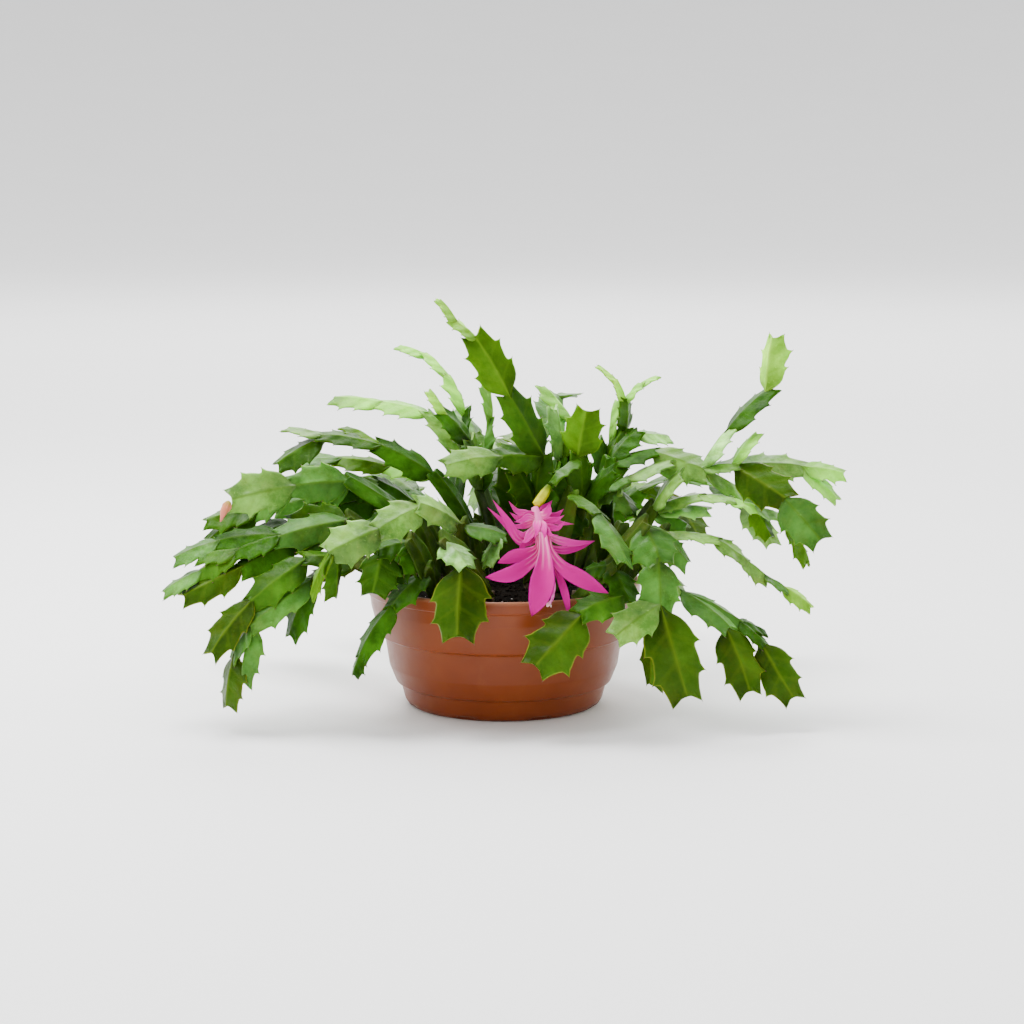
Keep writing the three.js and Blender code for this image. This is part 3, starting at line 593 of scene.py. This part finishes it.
def add_peg(build, root):
    """The woody foot of a stem: a knobbly tapered cylinder that goes down into the peat."""
    points = []
    for r in range(PEG_RINGS):
        t = r / (PEG_RINGS - 1)
        z = SOIL_TOP - PEG_DEPTH * 0.5 + t * (PEG_RISE + PEG_DEPTH * 0.5 - 0.3)
        radius = PEG_RADIUS * (1 - 0.25 * t) - 0.15
        for angle in turns(PEG_SIDES):
            reach = radius + 0.12 * sin(3 * angle + r) + wild.uniform(-0.1, 0.1)
            points.append(np.array([root[0] + reach * cos(angle), root[1] + reach * sin(angle), z]))
    faces = ring_faces(PEG_RINGS, PEG_SIDES)
    faces.append(list(range(PEG_SIDES))[::-1])
    faces.append([(PEG_RINGS - 1) * PEG_SIDES + i for i in range(PEG_SIDES)])
    build.add(points, faces, BARK_MAT, [(0.5, 0.02)] * len(points))


# ---- materials ----

def node_material(name):
    material = bpy.data.materials.new(name)
    material.use_nodes = True
    tree = material.node_tree
    tree.nodes.clear()
    out = tree.nodes.new("ShaderNodeOutputMaterial")
    shader = tree.nodes.new("ShaderNodeBsdfPrincipled")
    tree.links.new(shader.outputs["BSDF"], out.inputs["Surface"])
    return material, tree, shader


def new(tree, kind, **settings):
    node = tree.nodes.new(kind)
    for key, value in settings.items():
        if key in node.inputs:
            node.inputs[key].default_value = value
        else:
            setattr(node, key, value)
    return node


def feed(tree, socket, value):
    """Gives a socket a number, a colour or another node's output."""
    if isinstance(value, (int, float)):
        socket.default_value = value
    elif isinstance(value, tuple):
        socket.default_value = (*value, 1)
    else:
        tree.links.new(value, socket)


def maths(tree, operation, *values):
    node = new(tree, "ShaderNodeMath", operation=operation)
    for socket, value in zip(node.inputs, values):
        feed(tree, socket, value)
    return node.outputs[0]


def parts_of(tree, kind, output):
    """X, Y and Z of one output of a coordinate node."""
    place = tree.nodes.new(kind)
    parts = tree.nodes.new("ShaderNodeSeparateXYZ")
    tree.links.new(place.outputs[output], parts.inputs[0])
    return parts.outputs


def span(tree, value, low, high):
    """0 at low, 1 at high."""
    node = tree.nodes.new("ShaderNodeMapRange")
    node.inputs["From Min"].default_value = low
    node.inputs["From Max"].default_value = high
    tree.links.new(value, node.inputs["Value"])
    return node.outputs["Result"]


def noise(tree, scale, detail=4.0, rough=0.55, stretch=None):
    vector = tree.nodes.new("ShaderNodeTexCoord").outputs["Object"]
    made = new(tree, "ShaderNodeTexNoise", Scale=scale, Detail=detail, Roughness=rough)
    if stretch:
        turn = new(tree, "ShaderNodeMapping", Scale=stretch)
        tree.links.new(vector, turn.inputs["Vector"])
        vector = turn.outputs["Vector"]
    tree.links.new(vector, made.inputs["Vector"])
    return made.outputs["Fac"]


def ramp(tree, fac, *stops):
    """Colours by position; a single number is a grey."""
    node = tree.nodes.new("ShaderNodeValToRGB")
    elements = node.color_ramp.elements
    elements[0].position, elements[1].position = stops[0][0], stops[-1][0]
    for position, _ in stops[1:-1]:
        elements.new(position)
    for element, (_, colour) in zip(elements, stops):
        element.color = (*colour, 1) if isinstance(colour, tuple) else (colour, colour, colour, 1)
    tree.links.new(fac, node.inputs["Fac"])
    return node.outputs["Color"]


def mix(tree, fac, a, b, blend="MIX"):
    node = new(tree, "ShaderNodeMix", data_type="RGBA", blend_type=blend)
    for socket, value in ((node.inputs[0], fac), (node.inputs[6], a), (node.inputs[7], b)):
        feed(tree, socket, value)
    return node.outputs[2]


def times(tree, a, b):
    return mix(tree, 1.0, a, b, "MULTIPLY")


def bump(tree, shader, height, strength, distance):
    node = new(tree, "ShaderNodeBump", Strength=strength, Distance=distance)
    tree.links.new(height, node.inputs["Height"])
    tree.links.new(node.outputs["Normal"], shader.inputs["Normal"])


def surface(tree, shader, colour, rough, specular):
    feed(tree, shader.inputs["Base Color"], colour)
    feed(tree, shader.inputs["Roughness"], rough)
    shader.inputs["Specular IOR Level"].default_value = specular


def soften(shader, weight, radius):
    """Light that goes a little way into a leaf or a petal."""
    shader.inputs["Subsurface Weight"].default_value = weight
    shader.inputs["Subsurface Radius"].default_value = radius
    shader.inputs["Subsurface Scale"].default_value = 0.003


def across_the_blade(tree):
    """How far across, 0 at the midrib and 1 at the margin, and how far along."""
    x, y, _ = parts_of(tree, "ShaderNodeUVMap", "UV")
    return maths(tree, "ABSOLUTE", maths(tree, "MULTIPLY_ADD", x, 2, -1)), y


def painted_shade_half(tree):
    """1 on the half of the segment that gets painted shade, as if its midrib shaded it; the side changes from
    place to place.
    """
    x = parts_of(tree, "ShaderNodeUVMap", "UV")[0]
    half = ramp(tree, x, (0.46, 0.0), (0.56, 1.0))
    swap = ramp(tree, noise(tree, 11, 1), (0.44, 0.0), (0.56, 1.0))
    return maths(tree, "ABSOLUTE", maths(tree, "SUBTRACT", half, swap))


VEIN_SLOPE, VEIN_SWAY, VEIN_BEAT = -0.22, 0.07, 6.4
VEIN_TINT, VEIN_RELIEF = 0.16, -0.1
EDGE_TINT, OLIVE_EDGE_TINT = 0.4, 0.8


def side_veins(tree):
    """Faint veins that leave the midrib and run forward to the teeth; 1 on a vein."""
    across, along = across_the_blade(tree)
    slope = maths(tree, "MULTIPLY_ADD", across, VEIN_SLOPE, along)
    sway = maths(tree, "MULTIPLY_ADD", noise(tree, 90, 2), VEIN_SWAY, slope)
    return maths(tree, "COSINE", maths(tree, "MULTIPLY", sway, VEIN_BEAT * pi))


def foliage(tone):
    body, shade, rib, margin, rough = TONES_WITH_PAINTED_LIGHT[tone]
    sunlit = tuple(1.3 * c for c in body)
    dry = (body[0] * 1.9, body[1] * 0.95, body[2])
    spot = tuple(1.8 * c for c in body)
    material, tree, shader = node_material("foliage_" + tone)
    across, along = across_the_blade(tree)
    colour = ramp(tree, noise(tree, 52, 7, 0.68), (0.36, shade), (0.53, body), (0.68, sunlit))
    colour = times(tree, colour, ramp(tree, noise(tree, 12, 2), (0.32, 0.66), (0.68, 1.3)))
    # Painted shade and light along each segment: darkest at its foot by the joint, brightest past the middle,
    # a little darker at the tip.
    colour = times(tree, colour, ramp(tree, along, (0.05, 0.5), (0.3, 0.92), (0.62, 1.1), (1.0, 0.9)))
    # Painted shade on one half of each segment and painted light on the other, as if from the fold at the
    # midrib.
    colour = times(tree, colour, ramp(tree, painted_shade_half(tree), (0.1, 1.13), (0.9, 0.7)))
    colour = mix(tree, ramp(tree, noise(tree, 64, 5, 0.65), (0.5, 0.0), (0.68, BLUSH[tone])), colour, dry)
    colour = mix(tree, ramp(tree, across, (0.0, 0.75), (0.05, 0.45), (0.14, 0.0)), colour, rib)
    vein = side_veins(tree)
    colour = mix(tree, ramp(tree, vein, (0.7, 0.0), (0.98, VEIN_TINT)), colour, rib)
    edge = ramp(tree, across, (0.93, 0.0), (1.0, OLIVE_EDGE_TINT if tone == "o" else EDGE_TINT))
    colour = mix(tree, edge, colour, margin)
    colour = mix(tree, ramp(tree, noise(tree, 420, 2), (0.66, 0.0), (0.74, 0.3)), colour, spot)
    gloss = ramp(tree, noise(tree, 60, 4), (0.3, rough - 0.07), (0.7, rough + 0.1))
    surface(tree, shader, colour, gloss, SHEEN[tone])
    soften(shader, 0.3, (0.5, 1.0, 0.1))
    skin = mix(tree, 0.45, noise(tree, 120, 6, 0.6), noise(tree, 44, 2))
    bump(tree, shader, maths(tree, "MULTIPLY_ADD", vein, VEIN_RELIEF, skin), 0.75, 0.0027)
    return material


def plain_noise(name, low, high, scale, rough, strength=0.3, distance=0.0005, specular=0.5):
    material, tree, shader = node_material(name)
    surface(tree, shader, ramp(tree, noise(tree, scale, 5), (0.3, low), (0.7, high)), rough, specular)
    bump(tree, shader, noise(tree, scale * 3, 6, 0.65), strength, distance)
    return material


spine_look = plain_noise("areole_spines", (0.05, 0.02, 0.012), (0.16, 0.07, 0.03), 900, 0.6)
bark_look = plain_noise("bark", (0.055, 0.040, 0.020), (0.17, 0.125, 0.06), 260, 0.75, 0.8, 0.0012)
stem_looks = [foliage(tone) for tone in TONE_ORDER] + [spine_look, bark_look]

# ---- stems ----

wild = np.random.default_rng(SEED)
roots = []


def add_stem(name, root, segments):
    build = Builder()
    add_peg(build, root)
    for segment in segments:
        add_segment(build, segment)
    build.piece(name + "_fine", stem_looks, name)
    roots.append(root)


for name, root, routes in STEMS:
    add_stem(name, root, laid_segments(root, routes))
for name, count, (first, last), radius, rises, fork in RULE_STEMS:
    for i in range(count):
        bearing = first + (last - first) * i / (count - 1)
        add_stem(f"{name}_{i + 1}", *ruled_segments(bearing, radius, rises, fork))

# ---- flower and bud ----

CURVE_STEPS = 24
TUBE_DOME = 0.55
PETAL_ALONG = np.linspace(0, 1, 34)
PETAL_ACROSS = np.linspace(-1, 1, 15)
# Of an upper and a lower petal: width at the base, where it is full and the power it widens with, where it
# starts to taper and the power of that, and the scale of it all.
PETAL_FORMS = ((0.5, 0.35, 1, 0.42, 1.35, 0.9), (0.3, 0.6, 1.6, 0.66, 1.9, 1))
PETAL_TWIST, PETAL_CHANNEL, CHANNEL_SHARE = 0.15, (0.14, 0.24), (0.5, 0.9)
PETAL_THICK, PETAL_RIM, PETAL_TIP_HALF = 0.34, 0.02, 0.12
PETAL_RUFFLE, PETAL_VEIN = 0.16, 0.025
PALE_FROM = 0.5
STAMEN_COUNT, STIGMA_LOBES, BUD_SCALES = 9, 7, 5


def between(a, b, start, end, t):
    return a * (end - t) / (end - start) + b * (t - start) / (end - start)


def curve_points(route, count):
    """Even steps along a centripetal Catmull-Rom curve through the route."""
    pts = [np.array(p, float) for p in route]
    pts = [2 * pts[0] - pts[1]] + pts + [2 * pts[-1] - pts[-2]]
    fine = []
    for i in range(1, len(pts) - 2):
        p0, p1, p2, p3 = pts[i - 1:i + 3]
        t0 = 0.0
        t1 = t0 + sqrt(np.linalg.norm(p1 - p0))
        t2 = t1 + sqrt(np.linalg.norm(p2 - p1))
        t3 = t2 + sqrt(np.linalg.norm(p3 - p2))
        for t in np.linspace(t1, t2, CURVE_STEPS, endpoint=False):
            a, b, c = between(p0, p1, t0, t1, t), between(p1, p2, t1, t2, t), between(p2, p3, t2, t3, t)
            fine.append(between(between(a, b, t0, t2, t), between(b, c, t1, t3, t), t1, t2, t))
    fine.append(pts[-2])
    fine = np.array(fine)
    far = np.concatenate([[0], np.cumsum(np.linalg.norm(np.diff(fine, axis=0), axis=1))])
    want = np.linspace(0, far[-1], count)
    return np.stack([np.interp(want, far, fine[:, k]) for k in range(3)], axis=1)


def add_tube(build, route, radii, mat, sides, count, ripple=0.0):
    """A rod along the route with domed ends; a ripple gives it five ribs."""
    line = curve_points(route, count)
    size = np.interp(np.linspace(0, 1, count), np.linspace(0, 1, len(radii)), radii)
    way = np.gradient(line, axis=0)
    a = square_to(unit(way[0]), np.array([0.31, 0.2, 0.93]))
    points, layout = [], []
    for s in range(count):
        t = unit(way[s])
        a = square_to(t, a)
        b = np.cross(t, a)
        for i, angle in enumerate(turns(sides)):
            radius = size[s] * (1 + ripple * cos(5 * angle))
            points.append(line[s] + (a * cos(angle) + b * sin(angle)) * radius)
            layout.append((i / sides, s / (count - 1)))
    for end, sign in ((0, -1), (count - 1, 1)):
        points.append(line[end] + unit(way[end]) * sign * size[end] * TUBE_DOME)
        layout.append((0.5, end / (count - 1)))
    build.add(points, closed_faces(count, sides), mat, layout)


def spoke(way, hint, angle):
    """A unit vector square to way, turned round it by the angle from the hint."""
    a = square_to(way, np.array(hint))
    return a * cos(angle) + np.cross(way, a) * sin(angle)


def petal_half(t, low):
    """Half width of a petal, as a share of its widest, from its base to its pointed tip."""
    base, full_at, widening, taper_at, taper, scale = PETAL_FORMS[low]
    wide = base + (1 - base) * min(1, t / full_at) ** widening
    return wide * (1 - max(0, (t - taper_at) / (1 - taper_at)) ** taper) * scale


def add_petal(build, widest, pale, route, number, low=False):
    line = curve_points(seen_route(route), len(PETAL_ALONG))
    way = np.gradient(line, axis=0)
    middle = len(line) // 2
    to_eye = square_to(unit(way[middle]), EYE - line[middle])
    twist = wild.uniform(-PETAL_TWIST, PETAL_TWIST)
    channel = wild.uniform(*PETAL_CHANNEL) * CHANNEL_SHARE[low]
    points, layout, faces = [], [], []
    rows, columns = len(PETAL_ALONG), len(PETAL_ACROSS)
    for side in (1, -1):
        for s, t in enumerate(PETAL_ALONG):
            along = unit(way[s])
            out = square_to(along, to_eye)
            wide = np.cross(along, out)
            turn = twist * (t - 0.3)
            wide, out = (wide * cos(turn) + out * sin(turn),
                         out * cos(turn) - wide * sin(turn))
            half = max(PETAL_TIP_HALF, petal_half(t, low) * widest / 2)
            for f in PETAL_ACROSS:
                inner = 1 - abs(f) ** 3
                thick = PETAL_RIM + (PETAL_THICK * (1 - t * 0.5) + PETAL_VEIN * cos(f * 14)) * inner
                dish = channel * widest * (f * f - 0.35) * (0.4 + 0.6 * sin(pi * min(1, t * 1.1)))
                ruffle = PETAL_RUFFLE * sin(t * 17 + number * 2 + f * 1.5) * f * f * min(1, 2 * t)
                points.append(line[s] + wide * f * half + out * (dish + ruffle + side * thick))
                layout.append((0.5 + 0.5 * f, t))

    for side in (1, -1):
        def at(s, k):
            """The two sides share the points at the rim."""
            shared = k in (0, columns - 1) or s in (0, rows - 1)
            return (0 if side > 0 or shared else rows * columns) + s * columns + k

        faces += sheet_faces(rows, columns, at, side > 0)
    build.add(points, faces, 2 if low else 0 if pale < PALE_FROM else 1, layout)


def petal_look(name, base, throat, tip, edge, reach, streaks):
    """Paler at the throat, whose streaks fade out by the middle, and at the margin."""
    material, tree, shader = node_material(name)
    across, along = across_the_blade(tree)
    wobble = maths(tree, "MULTIPLY_ADD", noise(tree, 120, 4), 0.25, along)
    colour = ramp(tree, wobble, (0.1, throat), (reach, base), (1.0, tip))
    colour = mix(tree, ramp(tree, across, (0.7, 0.0), (1.0, 0.3)), colour, edge)
    stripe = new(tree, "ShaderNodeTexWave", Scale=0.8, Distortion=1.2, bands_direction="X")
    uv = tree.nodes.new("ShaderNodeUVMap")
    tree.links.new(uv.outputs["UV"], stripe.inputs["Vector"])
    lines = ramp(tree, stripe.outputs["Fac"], (0.4, 0.0), (0.95, 1.0))
    fading = ramp(tree, along, (0.1, streaks), (0.32, streaks * 0.45), (0.5, 0.0))
    colour = mix(tree, maths(tree, "MULTIPLY", lines, fading), colour, (1.0, 0.36, 0.56))
    surface(tree, shader, colour, 0.42, 0.05)
    soften(shader, 0.1, (1.0, 0.1, 0.5))
    bump(tree, shader, stripe.outputs["Fac"], 0.12, 0.0003)
    return material


deep_petal = petal_look("petal_magenta", base=(0.54, 0.0, 0.23), throat=(0.80, 0.03, 0.38),
                        tip=(0.58, 0.0, 0.26), edge=(0.72, 0.02, 0.34), reach=0.3, streaks=0.3)
pale_petal = petal_look("petal_rose", base=(0.74, 0.02, 0.36), throat=(0.95, 0.18, 0.46),
                        tip=(0.60, 0.0, 0.27), edge=(0.95, 0.25, 0.55), reach=0.5, streaks=0.7)
low_petal = petal_look("petal_low", base=(0.54, 0.0, 0.225), throat=(0.85, 0.10, 0.42),
                       tip=(0.48, 0.0, 0.205), edge=(0.58, 0.0, 0.26), reach=0.5, streaks=0.8)
tube_look = petal_look("flower_tube", base=(0.85, 0.12, 0.44), throat=(0.90, 0.16, 0.50),
                       tip=(0.95, 0.36, 0.62), edge=(0.9, 0.2, 0.52), reach=0.5, streaks=0.3)

petals = Builder()
for number, (widest, pale, route) in enumerate(PETALS):
    add_petal(petals, widest, pale, route, number)
for number, (widest, pale, route) in enumerate(LOW_PETALS):
    add_petal(petals, widest, pale, route, number, low=True)
add_tube(petals, seen_route(TUBE), [2.2, 4.1, 4.8, 5.0], 3, 30, 28, 0.05)
petals.piece("bloom_petals_fine", [deep_petal, pale_petal, low_petal, tube_look], "bloom_petals")

ovary_look, tree, shader = node_material("ovary_skin")
skin = ramp(tree, across_the_blade(tree)[1],
            (0.12, (0.10, 0.17, 0.005)), (0.42, (0.50, 0.54, 0.006)), (0.9, (0.72, 0.68, 0.01)))
skin = times(tree, skin, ramp(tree, noise(tree, 420, 4), (0.3, 0.8), (0.7, 1.15)))
surface(tree, shader, skin, 0.35, 0.08)
bump(tree, shader, noise(tree, 700, 4), 0.15, 0.0003)
ovary = Builder()
add_tube(ovary, seen_route(OVARY), [2.1, 3.05, 3.2, 2.8], 0, 28, 30, 0.05)
ovary.piece("bloom_ovary_fine", [ovary_look], "bloom_ovary")

thread_look = plain_noise("stamen_threads", (0.75, 0.03, 0.42), (0.92, 0.22, 0.6), 400, 0.4, 0.1, 0.0002)
stigma_look = plain_noise("stigma", (0.85, 0.30, 0.42), (1.0, 0.55, 0.62), 500, 0.5, 0.4, 0.0004)
pollen_look = plain_noise("anthers", (0.55, 0.30, 0.30), (0.85, 0.70, 0.62), 900, 0.8, 0.6, 0.0004)
stamens = Builder()
style = seen_route(STAMENS)
flat_spread = np.array([1, 0.7, 0.4])
for i in range(STAMEN_COUNT):
    thread = [p.copy() for p in style]
    for k in range(1, len(thread)):
        thread[k] += wild.normal(0, 0.35 + 0.2 * k, 3) * flat_spread
    reach = 0.8 + 0.16 * (i % 4) / 3
    thread[-1] = thread[-2] + (thread[-1] - thread[-2]) * reach * 0.8
    add_tube(stamens, thread, [0.24, 0.22, 0.19], 0, 7, 24)
    end = thread[-1]
    add_tube(stamens, [end, end + unit(end - thread[-2]) * 1.5], [0.32, 0.5, 0.3], 2, 8, 6)
add_tube(stamens, style, [0.62, 0.55, 0.5, 0.48, 0.5], 0, 12, 30)
end, way = style[-1], unit(style[-1] - style[-2])
for angle in turns(STIGMA_LOBES):
    out = spoke(way, (1.0, 0.2, 0.1), angle)
    lobe = [end - way * 2.6, end - way * 1.3 + out * 0.75, end + out * 0.45]
    add_tube(stamens, lobe, [0.4, 0.55, 0.36, 0.2], 1, 8, 8)
stamens.piece("bloom_stamens_fine", [thread_look, stigma_look, pollen_look], "bloom_stamens")

bud_look = petal_look("bud_skin", base=(0.72, 0.26, 0.12), throat=(0.42, 0.36, 0.06),
                      tip=(0.78, 0.22, 0.20), edge=(0.9, 0.5, 0.3), reach=0.4, streaks=0.0)
bud = Builder()
line = seen_route(BUD)
add_tube(bud, line, [1.5, 2.5, 2.7, 2.2, 1.2, 0.4], 0, 20, 26)
for i, angle in enumerate(turns(BUD_SCALES)):
    out = spoke(unit(line[-1] - line[0]), (1.0, 0.3, 0.0), angle + 0.4)
    tip = line[0] + (line[2] - line[0]) * (0.45 + 0.1 * (i % 2))
    scale = [line[0] + out * 1.2, (line[0] + tip) / 2 + out * 2.5, tip + out * 2.2]
    add_tube(bud, scale, [0.4, 0.9, 0.25], 0, 10, 14)
bud.piece("bud_fine", [bud_look], "bud")

# ---- pot ----

POT_PROFILE = [
  (0, 0), (61, 0), (63.6, 1.1), (65.6, 4.2), (67.6, 12), (68.4, 14.2), (71.2, 15.6), (75.6, 26.5), (78.6, 46),
  (82.6, 47.6), (87.4, 66), (88.2, 74), (90, 74.8), (90.4, 81.4), (89.4, 82.6), (88.2, 82.6), (86, 76),
  (81, 49.4), (76.8, 47.4), (71, 17.6), (66.2, 15.6), (61, 2), (0, 2),
]
POT_SIDES, POT_ROUNDING = 160, 0.9
NOTCHES, NOTCH_HALF, NOTCH_RISE, NOTCH_EASE = 8, 7, 2.6, 0.8
NOTCH_REACH, NOTCH_INSIDE = 66, 62


def rounded(profile, reach):
    """The profile with each corner cut back into a short curve of five points."""
    pts = [np.array(p, float) for p in profile]
    out = [pts[0]]
    for before, here, after in zip(pts, pts[1:], pts[2:]):
        back, on = np.linalg.norm(before - here), np.linalg.norm(after - here)
        cut = min(reach, back * 0.42, on * 0.42)
        a, b = here + (before - here) * cut / back, here + (after - here) * cut / on
        out.extend(bezier(a, here, b, t) for t in np.linspace(0, 1, 5))
    out.append(pts[-1])
    return out


def turned(build, profile, sides, shape):
    """A solid of revolution: profile from the axis round to the axis."""
    points, layout = [], []
    rings = [p for p in profile if p[0] > 1e-6]
    for s, (r, z) in enumerate(rings):
        for i, angle in enumerate(turns(sides)):
            rr, zz = shape(r, z, angle)
            points.append(np.array([rr * cos(angle), rr * sin(angle), zz]))
            layout.append((i / sides, s / len(rings)))
    for _, z in (profile[0], profile[-1]):
        points.append(np.array([0, 0, z]))
        layout.append((0.5, 0.5))
    build.add(points, closed_faces(len(rings), sides), 0, layout)


def pot_shape(r, z, angle):
    """Slight waviness from moulding, and drain notches in the base's edge."""
    wobble = 0.12 * sin(3 * angle + 0.5) + 0.05 * sin(11 * angle) if r > 40 else 0
    step = 2 * pi / NOTCHES
    near = abs((angle / step) % 1 - 0.5) * step * NOTCH_REACH
    if r > NOTCH_INSIDE and z < NOTCH_RISE and near < NOTCH_HALF:
        z = max(z, NOTCH_RISE * min(1, (NOTCH_HALF - near) / NOTCH_EASE))
    return r + wobble - 0.05, z


pot_look, tree, shader = node_material("moulded_plastic")
clay_and_rim_highlight = ramp(tree, noise(tree, 24, 5), (0.3, (0.150, 0.026, 0.003)), (0.7, (0.185, 0.036, 0.005)))
dust = ramp(tree, noise(tree, 55, 6, 0.7, (1, 1, 0.5)), (0.55, 0.0), (0.8, 0.18))
clay_and_rim_highlight = mix(tree, dust, clay_and_rim_highlight, (0.28, 0.085, 0.02))
height = span(tree, parts_of(tree, "ShaderNodeTexCoord", "Object")["Z"], 0.0, 0.083)
# Painted highlight: the top lip of the rim is lighter.
clay_and_rim_highlight = mix(tree, ramp(tree, height, (0.965, 0.0), (0.99, 0.5)), clay_and_rim_highlight, (0.42, 0.20, 0.11))
scuff = ramp(tree, noise(tree, 80, 7, 0.7), (0.35, 0.30), (0.75, 0.46))
surface(tree, shader, clay_and_rim_highlight, scuff, 0.22)
bump(tree, shader, noise(tree, 420, 5, 0.6), 0.12, 0.0003)

pot = Builder()
turned(pot, rounded(POT_PROFILE, POT_ROUNDING), POT_SIDES, pot_shape)
pot.piece("pot_fine", [pot_look], "pot")

# ---- peat ----

SOIL_WALL = [(0, 2.3), (60.4, 2.3), (65.6, 15.9), (70.4, 18), (76.2, 47.8), (80.4, 49.8), (84.6, 73)]
SOIL_RINGS, SOIL_SIDES = 44, 120
SOIL_RADIUS, SOIL_DROP, SOIL_LUMPY_FROM = 84.6, 4, 74
CRUMBS, CRUMB_REACH, CRUMB_CLEAR, CRUMB_SIDES = 1500, 82, 5, 6
# Of a crumb's three rings: share of its radius, and height as a share of it.
CRUMB_RINGS = ((0.7, -0.35), (0.95, 0.15), (0.35, 0.6))
STONE_SHARE = 0.035
CRUMB_RADIUS, STONE_RADIUS = (0.5, 1.5), (0.5, 1.0)


def soil_shape(r, z, angle):
    """Lumps on the top of the peat, which flatten out at the pot's wall."""
    if z < SOIL_LUMPY_FROM:
        return r, z
    x, y = r * cos(angle), r * sin(angle)
    lump = 0.55 * (sin(0.21 * x + 1) + sin(0.27 * y + 0.09 * x))
    fine = 0.5 * sin(0.8 * x + 2) * sin(0.73 * y)
    fine += 0.35 * sin(1.9 * x + 1.1 * y) * sin(1.7 * y - x)
    return r, z + (lump + fine) * min(1, (85 - r) / 6) - 0.4


def add_crumb(x, y, radius, mat):
    points = []
    top = soil_shape(hypot(x, y), SOIL_TOP, atan2(y, x))[1]
    centre = np.array([x, y, top + radius * 0.25])
    for ring, (share, lift) in enumerate(CRUMB_RINGS):
        for angle in turns(CRUMB_SIDES):
            angle += pi / CRUMB_SIDES * (ring % 2)
            reach = radius * (share + wild.uniform(-0.18, 0.18))
            points.append(centre + [reach * cos(angle), reach * sin(angle), radius * lift])
    points += [centre - UP * radius * 0.8, centre + UP * radius * 0.75]
    faces = closed_faces(len(CRUMB_RINGS), CRUMB_SIDES)
    soil.add(points, faces, mat, [(0.5, 0.5)] * len(points))


soil_top = [(r, SOIL_TOP - SOIL_DROP * (r / SOIL_RADIUS) ** 10) for r in np.linspace(83.8, 0.5, SOIL_RINGS)]
soil_look = plain_noise("peat", (0.003, 0.0025, 0.002), (0.014, 0.010, 0.007), 330, 0.95, 1.0, 0.002, 0.05)
crumb_look = plain_noise("peat_crumbs", (0.005, 0.0035, 0.0025), (0.026, 0.018, 0.012), 700, 0.92,
                         0.8, 0.001, 0.06)
stone_look = plain_noise("perlite", (0.42, 0.40, 0.36), (0.62, 0.60, 0.55), 900, 0.85, 0.6, 0.0006)
soil = Builder()
turned(soil, SOIL_WALL + soil_top + [(0, SOIL_TOP)], SOIL_SIDES, soil_shape)
for _ in range(CRUMBS):
    far = CRUMB_REACH * sqrt(wild.uniform(0, 1))
    bearing = wild.uniform(0, 2 * pi)
    x, y = far * cos(bearing), far * sin(bearing)
    if min(hypot(x - rx, y - ry) for rx, ry in roots) > CRUMB_CLEAR:
        stone = wild.uniform(0, 1) < STONE_SHARE
        add_crumb(x, y, wild.uniform(*(STONE_RADIUS if stone else CRUMB_RADIUS)), 2 if stone else 1)
soil.piece("soil_fine", [soil_look, crumb_look, stone_look], "soil")

# ---- floor, light and camera, in metres ----

FLOOR_FLAT, FLOOR_BEND, FLOOR_TURN = 6.0, 14.0, radians(28)
FLOOR_RINGS, FLOOR_SIDES = 17, 96
ROOM_POWER, ROOM_RISE, ROOM_LEAST = 1.9, 3.35, 0.55
LENS, SENSOR = 84.6, 36


def add_floor():
    """A flat floor that bends gently up far away, so that no horizon line shows."""
    points = []
    for ring in range(FLOOR_RINGS):
        rise = FLOOR_TURN * ring / (FLOOR_RINGS - 1)
        r, z = FLOOR_FLAT + FLOOR_BEND * sin(rise), FLOOR_BEND * (1 - cos(rise))
        for angle in turns(FLOOR_SIDES):
            points.append((r * cos(angle), r * sin(angle), z))
    faces = [tuple(range(FLOOR_SIDES))] + [face[::-1] for face in ring_faces(FLOOR_RINGS, FLOOR_SIDES)]
    mesh = bpy.data.meshes.new("floor")
    mesh.from_pydata(points, [], faces)
    mesh.polygons.foreach_set("use_smooth", [True] * len(faces))
    mesh.materials.append(plain_noise("pale_floor", (0.94, 0.94, 0.94), (0.96, 0.96, 0.96), 3, 0.7,
                                      0.02, 0.0002, 0.2))
    added("floor", mesh)


def soft_light(name, place, aim, size, power, colour=(1, 1, 1)):
    data = bpy.data.lights.new(name, "AREA")
    data.shape = "DISK"
    data.size = size
    data.energy = power
    data.color = colour
    light = added(name, data)
    light.location = place
    light.rotation_euler = (Vector(aim) - Vector(place)).to_track_quat("-Z", "Y").to_euler()


add_floor()
soft_light("back_panel", (-0.5, 0.3, 1.5), (0, 0, 0.12), 0.9, 46)
soft_light("far_panel", (0, 3.2, 2.6), (0, 2.8, 0), 2.6, 120)
soft_light("front_fill", (-0.9, -1.5, 1.1), (0, 0, 0.12), 1.2, 9, (1.0, 0.98, 0.96))

# The room is bright behind the plant, and dimmer on the viewer's side.
world = bpy.data.worlds.new("pale_room")
world.use_nodes = True
tree = world.node_tree
backward = span(tree, parts_of(tree, "ShaderNodeTexCoord", "Generated")["Y"], -1.0, 1.0)
glow = maths(tree, "MULTIPLY_ADD", maths(tree, "POWER", backward, ROOM_POWER), ROOM_RISE, ROOM_LEAST)
tree.links.new(glow, tree.nodes["Background"].inputs["Strength"])
tree.nodes["Background"].inputs["Color"].default_value = (1.0, 1.0, 1.0, 1)
bpy.context.scene.world = world

camera_data = bpy.data.cameras.new("camera")
camera_data.lens = LENS
camera_data.sensor_width = SENSOR
camera = added("camera", camera_data)
camera.location = EYE * MM
camera.rotation_euler = (radians(90) - EYE_DIP, 0, 0)
bpy.context.scene.camera = camera
